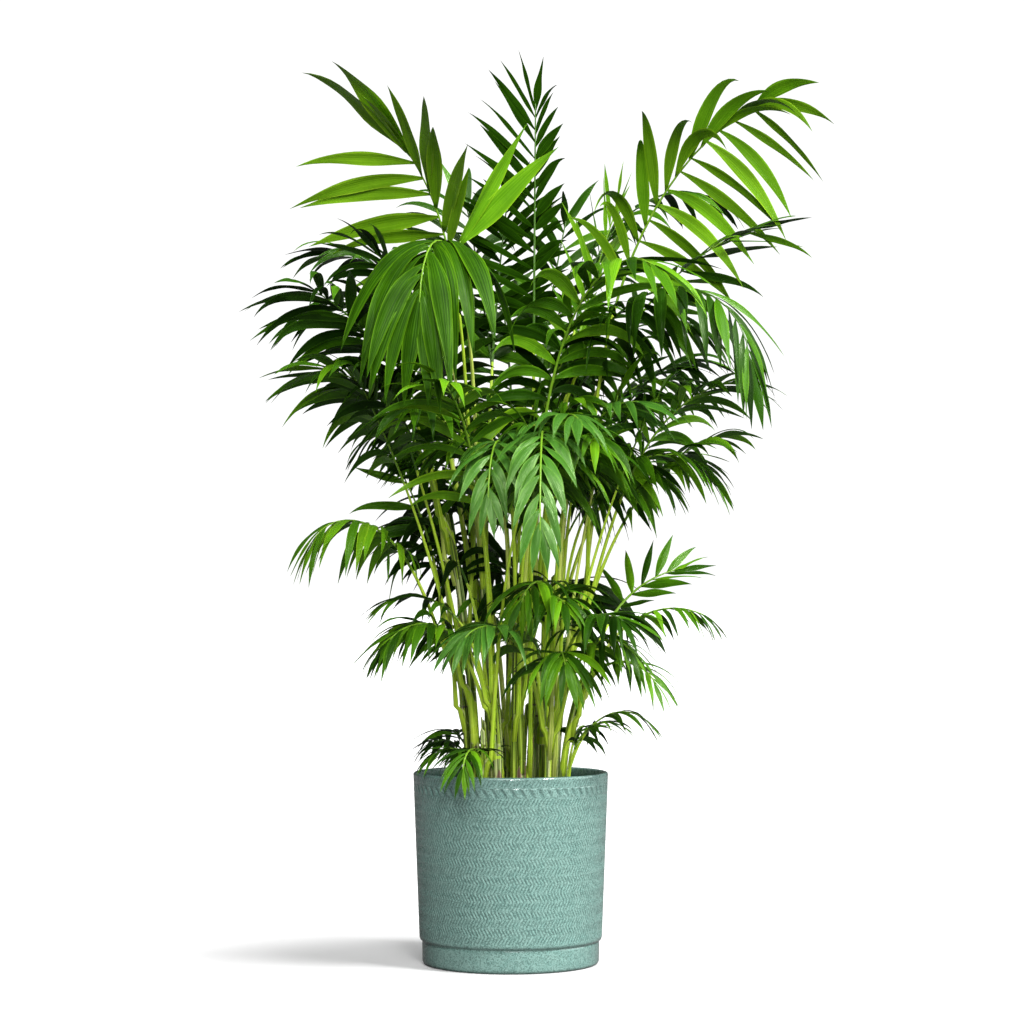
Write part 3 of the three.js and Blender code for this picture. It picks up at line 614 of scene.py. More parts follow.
# How some fronds look apart from the usual. tint is a row of leafTints, from 0. broad, closer and curl scale the
# breadth of the blades, how many there are and how much their ends hang. tip is the length of the two at the frond's
# tip as a share of the longest, and tipAngle is how far those two open.
usualLook = {"tint": 2, "broad": 1.0, "closer": 1.0, "curl": 1.0, "tip": 0.7, "tipAngle": 16}
looks = {
    "top_left_bright": {"tint": 6, "curl": 0.3, "tip": 1.0, "tipAngle": 7},
    "top_left_spear": {"tint": 3, "curl": 0.3, "tip": 1.0, "tipAngle": 9},
    "top_right_bright": {"tint": 4, "broad": 0.9, "closer": 1.15, "curl": 0.5},
    "top_back_dark": {"tint": 8, "broad": 0.95, "closer": 1.15, "curl": 0.2},
    "top_back_spear": {"tint": 8, "closer": 1.3, "curl": 0.2},
    "spear_right": {"tint": 3, "curl": 0.1},
    "front_hanging": {"tint": 7, "broad": 1.05, "closer": 1.3},
    "front_sheen": {"tint": 5, "broad": 1.3, "closer": 1.1},
    "front_left_sheen": {"tint": 5, "broad": 1.25, "closer": 1.1},
    "front_top_light": {"tint": 5, "broad": 1.15, "closer": 1.1},
    "front_low": {"tint": 5, "broad": 1.2, "closer": 1.1},
    "front_low_right": {"tint": 1, "broad": 1.1, "closer": 1.1},
    "front_right_wide": {"tint": 5, "closer": 1.1},
    "centre_upper": {"tint": 3, "closer": 1.1},
    "centre_right": {"closer": 1.2},
    "left_upper_dark": {"tint": 1, "closer": 1.35},
    "left_far_dark": {"tint": 1, "closer": 1.35},
    "left_front": {"closer": 1.4},
    "left_front_two": {"tint": 1, "closer": 1.4},
    "left_small": {"tint": 1, "closer": 1.3},
    "left_mid": {"broad": 1.3},
    "left_arch_low": {"tint": 3, "closer": 1.3},
    "left_low_front": {"broad": 1.2},
    "left_low_back": {"tint": 1},
    "right_back_dark": {"tint": 1, "closer": 1.3},
    "right_mid_back": {"closer": 1.2, "curl": 0.6},
    "right_arch": {"tint": 1, "closer": 1.2},
    "right_upper": {"closer": 1.3},
    "right_arch_dark": {"tint": 1, "closer": 1.3},
    "right_hanging": {"closer": 1.3},
    "right_inner_high": {"tint": 1, "closer": 1.2},
    "right_fan": {"broad": 1.3, "closer": 0.65, "curl": 0.3},
    "back_high": {"tint": 1, "closer": 1.2},
    "back_left_high": {"tint": 1},
    "back_right_high": {"tint": 1},
    "back_mid": {"tint": 1},
    "left_stalk_one": {"closer": 1.2},
    "left_stalk_two": {"tint": 1, "closer": 1.2},
    "seedling_right": {"broad": 0.95},
    "seedling_left": {"closer": 1.25},
    "seedling_back": {"tint": 1, "closer": 1.2},
}
rib = {
    "tipRadius": 0.9, "steps": 24, "turns": 12, "turnStep": 4, "sides": 10, "rings": 48, "channel": 0.22,
    "root": 10,  # depth below the cane's point in petiole radii
    "swell": 0.25, "swellReach": 30, "thin": 2, "thinSwell": 0.2,  # petioles up to thin swell evenly
    "paleShare": 0.92,  # of the bare length
    "kinds": ["petioleLime", "petiolePale", "petioleLime", "petioleLime"],
    "darkFor": (0, 1, 8),  # tints of blades that stand on dark ribs
}
leaflet = {
    "pairShare": 1.12, "openAngle": 70, "closeAngle": 34, "stray": 14, "lengthStray": 0.16, "jitter": 0.3,
    "lastPlace": 0.97, "tipPlace": 0.985,  # of the leafy part, and of the rib for the two at the tip
    "halfWidth": 0.057, "broadest": 0.38, "steps": 14, "smallSteps": 10, "smallBelow": 70, "cardSteps": 8,
    "across": 7, "smallAcross": 5,  # points on the upper side, from edge to edge
    "pull": 2.2, "sagStray": 0.9, "tipSag": 0.8,  # how its own weight bends it, and how much that varies
    "sweep": 0.22, "hook": 0.5, "curl": 1.5,  # towards the tip of the frond, the same at its end, and down at its end
    "twist": 76, "tilt": 44, "fold": 19, "pleat": 0.42, "wave": 1.1, "tipBroad": 1.35,
    "thickness": 0.5, "edgeThickness": 0.16,
    "fresherAbove": 0.78, "olderBelow": 0.3, "shadeReach": 120, "shadeTop": 820,  # blades inside these take a darker row: painted shade
    "tries": [0, 14, -14, 28, -28, 42],
}
# thin young canes between the others
shoots = {
    "tries": 60, "count": 16, "x": (-58, 66), "y": (-82, 60), "lean": (1, 6), "height": (90, 240),
    "foot": 3.9, "top": 2.9,
}
# More fronds in the middle of the clump: short ones behind and low, and others in front whose blades stand on long
# bare stalks. without names those that would hide something.
filler = {
    "without": ("filler_behind_5", "filler_before_5"), "caneStep": 5, "pairs": 9, "sag": (0.6, 1.2),
    "lowCanes": ("cane_front_left", "cane_front_right", "cane_outer", "cane_thick", "cane_pale"),
    # how many, their bearing and its spread, then ranges: height of the foot as a share of the cane, elevation where
    # the rib rises, elevation at its tip, how late it bends, length, bare share, longest leaflet
    "layers": {
        "behind": [18, 90, 140, (0.45, 0.98), (78, 88), (-60, 20), (1.8, 3.2), (230, 430), (0.42, 0.56), (95, 140)],
        "before": [16, 270, 150, (0.3, 0.75), (83, 89), (-30, 60), (2.4, 3.6), (400, 560), (0.66, 0.76), (85, 120)],
        "low": [7, 270, 130, (0.55, 0.9), (72, 86), (-70, -20), (1.8, 2.6), (170, 240), (0.42, 0.52), (80, 105)],
    },
}


def frondFrom(row, canes):
    frond = {**usualFrond, **dict(zip(frondParts, row))}
    frond["point"], frond["radius"], _ = caneAt(canes[frond["bearer"]], frond["foot"])
    return frond


def ribRadii(frond):
    return mix(frond["petiole"], rib["tipRadius"], np.arange(rib["steps"] + 1) / rib["steps"])


# The rib's foot, then its points and directions: a step out and up, then an arc from rise to fall.
def setCourse(frond):
    out = heading(frond["bearing"])
    foot = frond["point"] + out * (frond["radius"] + frond["petiole"] + frond["clear"])
    heel = 2 * frond["petiole"]
    s = (np.arange(rib["steps"]) + 0.5) / rib["steps"]
    elevation = np.radians(mix(frond["rise"], frond["fall"], s ** frond["bend"]))
    directions = np.outer(np.cos(elevation), out) + np.outer(np.sin(elevation), up)
    points = np.vstack([foot + heel * out + heel * up, directions * frond["length"] / rib["steps"]])
    frond["footPoint"] = foot
    frond["points"] = np.cumsum(points, axis=0)
    frond["directions"] = np.vstack([directions, directions[-1:]])


def along(rows, s):
    place = min(s, 1) * (len(rows) - 1)
    i = min(int(place), len(rows) - 2)
    return mix(rows[i], rows[i + 1], place - i)


# Tapered rods between one point and the next, as lists of starts, ends and their radii.
def rodsOf(points, radii):
    return [points[:-1], points[1:], radii[:-1], radii[1:]]


# Shortest gap between one tapered rod and each of the rods placed before it.
def gapsFrom(start, end, startRadius, endRadius, placed):
    starts, ends, startRadii, endRadii = placed
    own, other, apart = end - start, ends - starts, start - starts
    aa, bb = own @ own, (other * other).sum(1)
    ab, ar, br = other @ own, apart @ own, (other * apart).sum(1)
    spread = aa * bb - ab * ab
    crossing = spread > 1e-9
    s = np.where(crossing, np.clip((ab * br - ar * bb) / np.where(crossing, spread, 1), 0, 1), 0)
    t = (ab * s + br) / bb
    outside = (t < 0) | (t > 1)
    t = np.clip(t, 0, 1)
    s = np.where(outside, np.clip((ab * t - ar) / aa, 0, 1), s)
    between = np.linalg.norm(apart + np.outer(s, own) - other * t[:, None], axis=1)
    return between - mix(startRadius, endRadius, s) - mix(startRadii, endRadii, t)


# Adds rods to those placed before, if all of them are clear.
def claim(rods, placed):
    if not all(gapsFrom(*rod, placed).min() > gap for rod in zip(*rods)):
        return False
    placed[:] = [np.concatenate(pair) for pair in zip(placed, rods)]
    return True


# Turns a frond to the first bearing near its own where its rib misses everything placed before it.
def settle(frond, placed):
    bearing, radii = frond["bearing"], ribRadii(frond)
    for k in range(rib["turns"] + 1):
        frond["bearing"] = bearing + (1 if k % 2 else -1) * ceil(k / 2) * rib["turnStep"]
        setCourse(frond)
        points = np.vstack([[frond["footPoint"]], frond["points"]])
        if claim(rodsOf(points, np.concatenate([radii[:1], radii])), placed):
            return True
    return False


# The blade's own frame at a place along the rib: forward, to the left, and out of the upper side.
def bladeFrame(frond, s):
    forward = unit(along(frond["directions"], s))
    left = heading(frond["bearing"] + 90)
    face = np.cross(forward, left)
    turn = radians(frond["roll"])
    return {
        "origin": along(frond["points"], s), "forward": forward,
        "left": left * cos(turn) + face * sin(turn),
        "face": face * cos(turn) - left * sin(turn),
    }


def makeRib(piece, frond, petioleTint, ribTint):
    angles = anglesRound(rib["sides"]) + pi / 2
    dent = 1 - rib["channel"] * np.clip(np.sin(angles), 0, 1) ** 4
    petiole = frond["petiole"]
    places = [(frond["point"] - up * rib["root"] * petiole, petiole * 0.9, 0.0), (frond["footPoint"], petiole, 0.0)]
    for s in np.arange(rib["rings"] + 1) / rib["rings"]:
        places.append((along(frond["points"], s), mix(petiole, rib["tipRadius"], s), s))
    rings, tints, lengths = [], [], []
    for centre, radius, s in places:
        here = bladeFrame(frond, s)
        grown = s * frond["length"]
        swell = rib["swell"] * exp(-grown / rib["swellReach"]) if petiole > rib["thin"] else rib["thinSwell"]
        rings.append(ringOf(centre, radius * (1 + swell) * dent, angles, here["left"], here["face"]))
        lengths.append(grown)
        tints.append(petioleTint if s < frond["bare"] * rib["paleShare"] else ribTint)
    addTube(piece, rings, tints, lengths, frond["points"][-1] + frond["directions"][-1] * 2)


# The course of a leaflet: points, and at each the way across it and the way out of its upper side.
def leafletCourse(here, leaf, steps):
    lift, angle = radians(leaf["lift"]), radians(leaf["angle"])
    side = here["left"] * leaf["side"] * cos(lift) + here["face"] * sin(lift)
    start = here["forward"] * cos(angle) + side * sin(angle)
    t = np.arange(steps + 1) / steps
    half = (t[1:] + t[:-1]) / 2
    pull = here["forward"] * leaf["sweep"] - up * leaflet["pull"] * leaf["sag"]
    hook = here["forward"] * leaf["hook"] - up * leaf["curl"]
    directions = unit(start + np.outer(t, pull) + np.outer(t ** 4, hook))
    moves = unit(start + np.outer(half, pull) + np.outer(half ** 4, hook)) * leaf["length"] / steps
    points = here["origin"] + np.vstack([np.zeros(3), np.cumsum(moves, axis=0)])
    edges = unit(np.cross(here["face"], directions))
    faces = np.cross(directions, edges)
    turn = np.radians(leaf["tilt"] + leaf["twist"] * t ** 1.4)[:, None]
    return points, edges * np.cos(turn) + faces * np.sin(turn), faces * np.cos(turn) - edges * np.sin(turn), t


# Half the breadth of a leaflet along its length, as a share of the broadest.
def leafOutline(t):
    broadest = leaflet["broadest"]
    rising = 0.18 + 0.82 * np.sin(np.clip(t / broadest, 0, 1) * pi / 2) ** 1.1
    falling = np.cos(np.clip((t - broadest) / (1 - broadest), 0, 1) * pi / 2) ** 1.15
    return np.where(t < broadest, rising, falling)


def makeLeaflet(piece, here, leaf, tint):
    small = leaf["length"] < leaflet["smallBelow"]
    steps = leaflet["smallSteps" if small else "steps"]
    v = np.linspace(-1, 1, leaflet["smallAcross" if small else "across"])
    points, edges, faces, t = leafletCourse(here, leaf, steps)
    half = leafOutline(t) * leaflet["halfWidth"] * leaf["length"] * leaf["broad"]
    fold = np.tan(np.radians(leaflet["fold"] * (1 - 0.75 * t)))
    folds = np.where(np.arange(len(v)) % 2 == 1, -1.0, 1.0) * (1 - 0.5 * v ** 2)
    pleat = leaflet["pleat"] * folds * np.clip(half / 8, 0.15, 1)[:, None]
    ripple = np.sin(t * 11 + leaf["phase"])[:, None] * np.abs(v) ** 3 * np.sign(v) * (half[:, None] / 9)
    top = -np.outer(fold * half, np.abs(v)) + pleat + leaflet["wave"] * ripple
    thick = mix(leaflet["edgeThickness"], leaflet["thickness"], 1 - v ** 2)
    upper = points[:, None] + edges[:, None] * (half[:, None] * v)[..., None] + faces[:, None] * top[..., None]
    lower = upper - faces[:, None] * thick[None, :, None]
    rings = np.concatenate([upper, lower[:, -2:0:-1]], axis=1)[:-1, ::-1]
    sides = rings.shape[1]
    x = np.concatenate([v, v[-2:0:-1]])[::-1] * 0.5 + 0.5
    grain = np.stack([np.tile(x, steps), np.repeat(t[:-1] * leaf["length"] / grainLength, sides)], 1)
    grain = np.vstack([grain, [[0.5, leaf["length"] / grainLength]]])
    rims = np.zeros(sides, bool)
    rims[[sides - 1, sides - len(v)]] = True
    vertices = np.vstack([rings.reshape(-1, 3), points[-1:]])
    addPart(piece, vertices, leafFaces[small], tint, grain, np.append(np.tile(rims, steps), True))


leafFaces = {
    False: tubeFaces(leaflet["steps"], 2 * leaflet["across"] - 2, tip=True),
    True: tubeFaces(leaflet["smallSteps"], 2 * leaflet["smallAcross"] - 2, tip=True),
}


def leafletsOf(frond, number, look):
    pairs = max(min(3, frond["pairs"]), round(frond["pairs"] * leaflet["pairShare"] * look["closer"]))
    leaves = []
    for k in range(pairs):
        for side in (-1, 1):
            u = (k + 0.35 + (0.25 if side > 0 else 0)) / pairs
            shift = leaflet["jitter"] * (share(number * 4 + k, side + 9) - 0.5) / pairs
            stray = share(number * 7 + k, side * 3 + 5) - 0.5
            swell = 0.62 + 0.38 * sin(pi * (0.15 + 0.75 * u))
            angle = mix(leaflet["openAngle"], leaflet["closeAngle"], u) + stray * leaflet["stray"]
            leaves.append({
                "s": frond["bare"] + (1 - frond["bare"]) * (u + shift) * leaflet["lastPlace"], "side": side,
                "angle": angle + side * frond["skew"],
                "length": frond["leaf"] * swell * (1 + leaflet["lengthStray"] * stray),
            })
    for side in (-1, 1):
        length = frond["leaf"] * look["tip"]
        leaves.append({"s": leaflet["tipPlace"], "side": side, "angle": look["tipAngle"], "length": length})
    for k, leaf in enumerate(leaves):
        last = k >= len(leaves) - 2
        sagStray = 1 + leaflet["sagStray"] * (share(number * 11 + k, k % 2) - 0.5)
        leaf["sag"] = frond["sag"] * (leaflet["tipSag"] if last else sagStray)
        leaf["sweep"] = leaflet["sweep"] * look["curl"] * (0.3 + 1.4 * share(number * 2 + k, 4))
        leaf["curl"] = leaflet["curl"] * look["curl"] * share(number * 9 + k, 6) ** 2
        leaf["hook"] = leaflet["hook"] * look["curl"] * (share(number * 6 + k, 8) - 0.35)
        leaf["twist"] = leaflet["twist"] * (share(number * 5 + k, 3) - 0.5)
        leaf["tilt"] = leaflet["tilt"] * (share(number * 8 + k, 5) - 0.5)
        leaf["phase"] = 6.3 * share(number + k, 11)
        broad = 0.9 + 0.24 * share(number * 3 + k, 2)
        leaf["broad"] = broad * (leaflet["tipBroad"] if last else 1) * look["broad"]
    return leaves


# A flat card of a leaflet, to try whether it touches something.
def cardOf(here, leaf):
    points, edges, _, t = leafletCourse(here, leaf, leaflet["cardSteps"])
    half = (leafOutline(t) * leaflet["halfWidth"] * leaf["length"])[:, None]
    rows = np.stack([points - edges * half, points, points + edges * half], 1)[1:].reshape(-1, 3)
    corners = [3 * r + i for r in range(leaflet["cardSteps"] - 1) for i in range(2)]
    return rows, [(a, a + 1, a + 4, a + 3) for a in corners]


def known(name, points, faces):
    tree = BVHTree.FromPolygons(points.tolist(), faces)
    return {"name": name, "tree": tree, "low": points.min(0), "high": points.max(0)}


def touching(card, others):
    rows, faces = card
    low, high = rows.min(0), rows.max(0)
    near = [o for o in others if (low < o["high"]).all() and (high > o["low"]).all()]
    if not near:
        return 0
    tree = BVHTree.FromPolygons(rows.tolist(), faces)
    return sum(len(tree.overlap(o["tree"])) for o in near)


# Grows the leaflets of one frond. Each takes the first lift that touches nothing, or the one that touches least,
# and is left out only where it can't miss a cane or another frond's rib.
def growLeaflets(piece, frond, number, look, limbs, blades):
    cards = []
    for k, leaf in enumerate(leafletsOf(frond, number, look)):
        here = bladeFrame(frond, leaf["s"])
        best = None
        for change in leaflet["tries"]:
            leaf["lift"] = frond["lift"] + change
            card = cardOf(here, leaf)
            if touching(card, limbs):
                continue
            count = touching(card, blades)
            if best is None or count < best[0]:
                best = (count, leaf["lift"], card)
            if count == 0:
                break
        if best is None:
            continue
        leaf["lift"] = best[1]
        cards.append(best[2])
        age = share(number * 13 + k, 7)
        tint = look["tint"] + (age > leaflet["fresherAbove"]) - (age < leaflet["olderBelow"])
        x, y, z = here["origin"]
        # painted shade: a blade low inside the crown takes the next darker row
        if hypot(x, y) < leaflet["shadeReach"] and z < leaflet["shadeTop"]:
            tint -= 1
        tint = look["tint"] if look["tint"] > newestUsual else min(newestUsual, max(0, tint))
        makeLeaflet(piece, here, leaf, tint)
    return cards


def joinCards(name, cards):
    rows, faces, base = [], [], 0
    for points, cardFaces in cards:
        rows.append(points)
        faces.extend([tuple(base + i for i in face) for face in cardFaces])
        base += len(points)
    return known(name, np.vstack(rows), faces)


pot = {
    "height": 254, "rimRadius": 130, "bodyRadius": 121.5, "footRadius": 117.5, "footHeight": 32, "footRound": 5,
    "wall": 6.5, "floor": 12, "fillet": 8,
    "columnsPerStroke": 6, "fineTop": 226.8, "fineBottom": 37.5, "fineBands": 17, "wear": 0.45,
    "topBand": (240.8, 250.5), "boldBand": (228.0, 239.6),
    # the herringbone's strokes: how many round the pot, how deep, how far they slant, and the shape of the cut
    "fine": {"count": 165, "depth": 0.66, "slant": 6.2, "offset": 0.2, "power": 1.3},
    "bold": {"count": 66, "depth": 1.9, "slant": -6.5, "offset": -0.1, "power": 0.7},
    "floorTone": 0.15,  # how far plain glaze goes to the pooled colour
}
glaze = {
    "body": (0.188, 0.332, 0.292), "pooledAndShade": (0.019, 0.056, 0.048), "pale": (0.31, 0.455, 0.408),
    "blue": (0.122, 0.258, 0.235), "roughness": (0.22, 0.36), "coatRoughness": 0.06,
    "broad": {"Patch Size": 14.0, "Speck Size": 620.0}, "fine": {"Patch Size": 120.0, "Speck Size": 160.0},
    "blueShare": 0.28, "paleShare": 0.35, "speckShare": 0.62, "grooveShare": 0.55,
    "inside": 1.62,  # painted shade: how far the inner wall and floor go to the pooled colour
    "relief": 0.0004, "reliefShare": 0.35,
}


def potOuterRadius(z):
    top = pot["height"] - pot["wall"] / 2
    return mix(pot["bodyRadius"], pot["rimRadius"], (z - pot["footHeight"]) / (top - pot["footHeight"]))


# Rows of the outer wall from the foot to the lip: height, radius, depth of the strokes, their shift in mm, and kind.
def potRows():
    fine, bottom, foot = pot["fine"], pot["fineBottom"], pot["footHeight"]
    rows = [(foot + 2.6, potOuterRadius(foot) - 0.2), (bottom - 0.8, potOuterRadius(bottom))]
    bandHeight = (pot["fineTop"] - bottom) / pot["fineBands"]
    for band in range(pot["fineBands"]):
        for part in (0.06, 0.2, 0.5, 0.8, 0.94):
            joint = not 0.1 < part < 0.9
            z = bottom + (band + part) * bandHeight
            shift = fine["slant"] * (1 - part if band % 2 else part)
            depth = fine["depth"] * (0.6 if joint else 1)
            rows.append((z, potOuterRadius(z) - (0.04 if joint else 0), depth, shift))
    for low, high, kind, deep in ((*pot["boldBand"], "bold", 1), (*pot["topBand"], "fine", 0.9)):
        rows.append((low - 0.9, potOuterRadius(low) - 0.45, 0, 0, kind))
        for part in (0.0, 0.12, 0.3, 0.5, 0.7, 0.88, 1.0):
            z = mix(low, high, part)
            depth = pot[kind]["depth"] * deep * sin(pi * (0.08 + 0.84 * part))
            rows.append((z, potOuterRadius(z), depth, pot[kind]["slant"] * part, kind))
    return rows


def makePot():
    columns = pot["fine"]["count"] * pot["columnsPerStroke"]
    angles = anglesRound(columns)
    lip = pot["wall"] / 2
    foot, footHeight, footRound = pot["footRadius"], pot["footHeight"], pot["footRound"]
    rings, tones = [], []

    def addRing(z, radius, depth=0.0, shift=0.0, kind="fine", tone=pot["floorTone"]):
        turn = angles + shift / radius
        strokes = pot[kind]
        cut = np.clip((np.cos(angles * strokes["count"]) + strokes["offset"]) / 1.1, 0, 1) ** strokes["power"]
        worn = 1 - pot["wear"] * (0.5 + 0.5 * np.sin(3 * angles + z * 0.05) * np.cos(5 * angles - z * 0.03))
        wide = radius - depth * cut * worn
        rings.append(np.stack([wide * np.cos(turn), wide * np.sin(turn), np.full(columns, z)], 1))
        tones.append(cut * min(1.0, depth / pot["fine"]["depth"]) if depth else np.full(columns, tone))

    for radius in (20, 60, 95, foot - footRound):
        addRing(0, radius)
    for angle in np.radians((22.5, 45, 67.5, 90)):
        addRing(footRound * (1 - cos(angle)), foot - footRound * (1 - sin(angle)))
    for z in (10, 16, 22, 27):
        addRing(z, foot + 0.02 * (z - 5))
    for rise, out in ((-2.2, 0.2), (-1.2, -0.5), (-0.3, 0.9), (0.7, pot["bodyRadius"] - 0.9 - foot)):
        addRing(footHeight + rise, foot + out)
    for row in potRows():
        addRing(*row)
    top = pot["height"] - lip
    for bend in np.radians(range(0, 181, 15)):
        addRing(top + lip * sin(bend), pot["rimRadius"] - lip + lip * cos(bend))
    inner = foot - pot["wall"]
    # the inner wall and floor take the dark pooled tone as painted shade
    for z in (240, 228, 218, 200, 120, pot["floor"] + pot["fillet"]):
        addRing(z, mix(inner, pot["rimRadius"] - pot["wall"], (z - 20) / (top - 20)), tone=glaze["inside"])
    for radius in (inner - pot["fillet"], 40):
        addRing(pot["floor"], radius, tone=glaze["inside"])
    piece = newPiece()
    addPart(piece, np.vstack(rings), tubeFaces(len(rings), columns), 0)
    thing = finishPiece("glazed_pot", piece, [makeGlaze()], ["pot"])
    # the dark glaze pooled in the strokes, and painted shade inside the pot
    pooledAndShade = thing.data.attributes.new("pooledAndShade", "FLOAT", "POINT")
    pooledAndShade.data.foreach_set("value", np.concatenate(tones).astype(np.float32))


def makeGlaze():
    material, tree, shader = newMaterial("celadonGlaze")
    # how far each place goes to the dark colour: glaze pooled in the strokes, and painted shade inside the pot
    pooledAndShade = addNode(tree, "Attribute", attribute_name="pooledAndShade").outputs["Fac"]
    broad, fine = placeGroup(tree, mottle, glaze["broad"]), placeGroup(tree, mottle, glaze["fine"])
    colour = mixColour(tree, broad["Patches"], glaze["body"], glaze["blue"], glaze["blueShare"])
    colour = mixColour(tree, fine["Patches"], colour, glaze["pale"], glaze["paleShare"])
    colour = mixColour(tree, broad["Specks"], colour, glaze["pooledAndShade"], glaze["speckShare"])
    feed(shader, {
        "Base Color": mixColour(tree, pooledAndShade, colour, glaze["pooledAndShade"], glaze["grooveShare"]),
        "Roughness": rangeNode(tree, fine["Patches"], glaze["roughness"]),
        "Normal": bumpNode(tree, fine["Specks"], glaze["relief"], glaze["reliefShare"]),
        "Coat Weight": 1.0, "Coat Roughness": glaze["coatRoughness"],
    })
    return material


soil = {
    "sides": 96, "rings": 26, "lumps": 1700, "seed": 5, "mottle": {"Patch Size": 60.0, "Speck Size": 500.0},
    "dark": (0.01, 0.007, 0.005), "pale": (0.045, 0.03, 0.018), "paleShare": 0.8,
 "roughness": (0.75, 0.95), "relief": 0.0012, "reliefShare": 0.8,
}


def makeEarth():
    material, tree, shader = newMaterial("pottingMix")
    crumbs = placeGroup(tree, mottle, soil["mottle"])
    feed(shader, {
        "Base Color": mixColour(tree, crumbs["Patches"], soil["dark"], soil["pale"], soil["paleShare"]),
        "Roughness": rangeNode(tree, crumbs["Specks"], soil["roughness"]),
        "Normal": bumpNode(tree, crumbs["Specks"], soil["relief"], soil["reliefShare"]),
    })
    return material


def soilHeight(x, y):
    swell = 1.6 * sin(x * 0.05 + 1) * cos(y * 0.043) + 0.9 * sin(x * 0.17 + y * 0.11)
    return soilLevel - 2.2 + swell + 0.8 * sin(x * 0.39 - y * 0.31)


# A ball of 20 faces: its corners are on three golden rectangles, and each face joins three corners 2 apart.
def lumpShape():
    golden = (1 + 5 ** 0.5) / 2
    corners = [np.roll([short, long * golden, 0], k) for k in range(3) for long in (1, -1) for short in (-1, 1)]
    near = [[abs(np.linalg.norm(a - b) - 2) < 0.01 for b in corners] for a in corners]
    faces = []
    for a in range(12):
        for b in range(a + 1, 12):
            for c in range(b + 1, 12):
                if near[a][b] and near[b][c] and near[a][c]:
                    outward = np.cross(corners[b] - corners[a], corners[c] - corners[a]) @ corners[a] > 0
                    faces.append((a, b, c) if outward else (a, c, b))
    return unit(np.array(corners)), faces


def makeSoil():
    earth = makeEarth()
    inner = mix(pot["footRadius"] - pot["wall"], pot["rimRadius"] - pot["wall"], 0.84) - 0.8
    low = pot["floor"] + 1
    base = pot["footRadius"] - pot["wall"] - pot["fillet"] - 2
    courses = [(low, 20), (low, base), (low + 9, 109), (200, inner - 1.5)]
    courses += [(None, inner * (1 - r / soil["rings"])) for r in range(soil["rings"])]
    angles = anglesRound(soil["sides"])
    rings = []
    for z, radius in courses:
        places = zip(radius * np.cos(angles), radius * np.sin(angles))
        rings.append([(x, y, soilHeight(x, y) if z is None else z) for x, y in places])
    piece = newPiece()
    addPart(piece, np.vstack(rings), tubeFaces(len(rings), soil["sides"]), 0)
    finishPiece("soil_bed", piece, [earth], ["soil"])
    crumbs = newPiece()
    draw = np.random.default_rng(soil["seed"])
    ball, sides = lumpShape()
    for _ in range(soil["lumps"]):
        distance = (inner - 5) * sqrt(draw.random())
        turn = draw.random() * 2 * pi
        x, y = distance * cos(turn), distance * sin(turn)
        size = 0.9 + 2.6 * draw.random() ** 3
        shape = ball * size * draw.uniform(0.6, 1.3, (12, 1))
        shape = shape * np.array([draw.uniform(0.7, 1.8), 1, draw.uniform(0.5, 0.9)])
        spin = draw.random() * 2 * pi
        c, s = cos(spin), sin(spin)
        shape = shape @ np.array([[c, s, 0], [-s, c, 0], [0, 0, 1]])
        addPart(crumbs, shape + np.array([x, y, soilHeight(x, y) + size * 0.2]), sides, 0)
    finishPiece("soil_crumbs", crumbs, [earth], [], smooth=False)


def rodsOfCane(row):
    heights = [0] + [mix(cane["flareReach"], row[4], i / cane["steps"]) for i in range(cane["steps"] + 1)]
    points, radii, _ = zip(*[caneAt(row, rise) for rise in heights])
    return rodsOf(np.array(points), np.array(radii))


# Thin young canes between the others, wherever one finds room.
def addShoots(canes, placed):
    made = 0
    for k in range(shoots["tries"]):
        x, y = mix(*shoots["x"], share(k, 3)), mix(*shoots["y"], share(k * 5, 2 + k))
        row = [x, y, mix(*shoots["lean"], share(k, 6)), degrees(atan2(y, x)),
               mix(*shoots["height"], share(k * 3, 7)), shoots["foot"], shoots["top"]]
        if made < shoots["count"] and claim(rodsOfCane(row), placed):
            canes[f"shoot_{k}"] = row
            made += 1
    print("shoots", made)


def fillerRows(canes):
    names = list(caneRows)
    thin = [name for name in canes if name not in caneRows]
    rows = {}
    for layer, (count, middle, spread, feet, *ranges) in filler["layers"].items():
        for k in range(count):
            bearer = names[(k * filler["caneStep"] + len(layer)) % len(names)]
            if layer == "low":
                bearer = filler["lowCanes"][k % len(filler["lowCanes"])]
            if layer == "before" and thin:
                bearer = thin[k % len(thin)]
            foot = canes[bearer][4] * mix(*feet, share(k, 1))
            bearing = middle + spread * (share(k, 4) - 0.5)
            picks = [mix(*ends, share(k * 3 + i, i * 5)) for i, ends in enumerate(ranges)]
            row = [bearer, foot, bearing, *picks, filler["pairs"], mix(*filler["sag"], share(k, 8))]
            rows[f"filler_{layer}_{k}"] = row
    return {name: row for name, row in rows.items() if name not in filler["without"]}


# Every cane by its row, and every plant by its fronds, in the order in which they take their room.
def makePlants():
    canes, plants = dict(caneRows), {}
    placed = [np.concatenate(parts) for parts in zip(*[rodsOfCane(row) for row in canes.values()])]

    def placeFronds(rows):
        for name, row in rows.items():
            frond = frondFrom(row, canes)
            if settle(frond, placed):
                plants[name] = {"fronds": [frond]}
            elif name in frondRows:
                raise RuntimeError(f"no free bearing for {name}")

    placeFronds({**frondRows, **moreRows})
    addShoots(canes, placed)
    placeFronds(fillerRows(canes))
    for name, (x, y, height, radius, petiole, leaf, pairs, rows) in youngRows.items():
        stem = [x, y, 1, rows[0][1], height, radius, radius * youngTaper]
        plants[name] = {"fronds": [], "stem": stem}
        for foot, *row in rows:
            frond = {**youngFrond, "petiole": petiole, "leaf": leaf, "pairs": pairs}
            frond.update(zip(("bearing", "rise", "fall", "length"), row))
            frond["point"], frond["radius"], _ = caneAt(stem, foot)
            frond["clear"] = -frond["radius"] - petiole
            setCourse(frond)
            plants[name]["fronds"].append(frond)
    return plants, canes


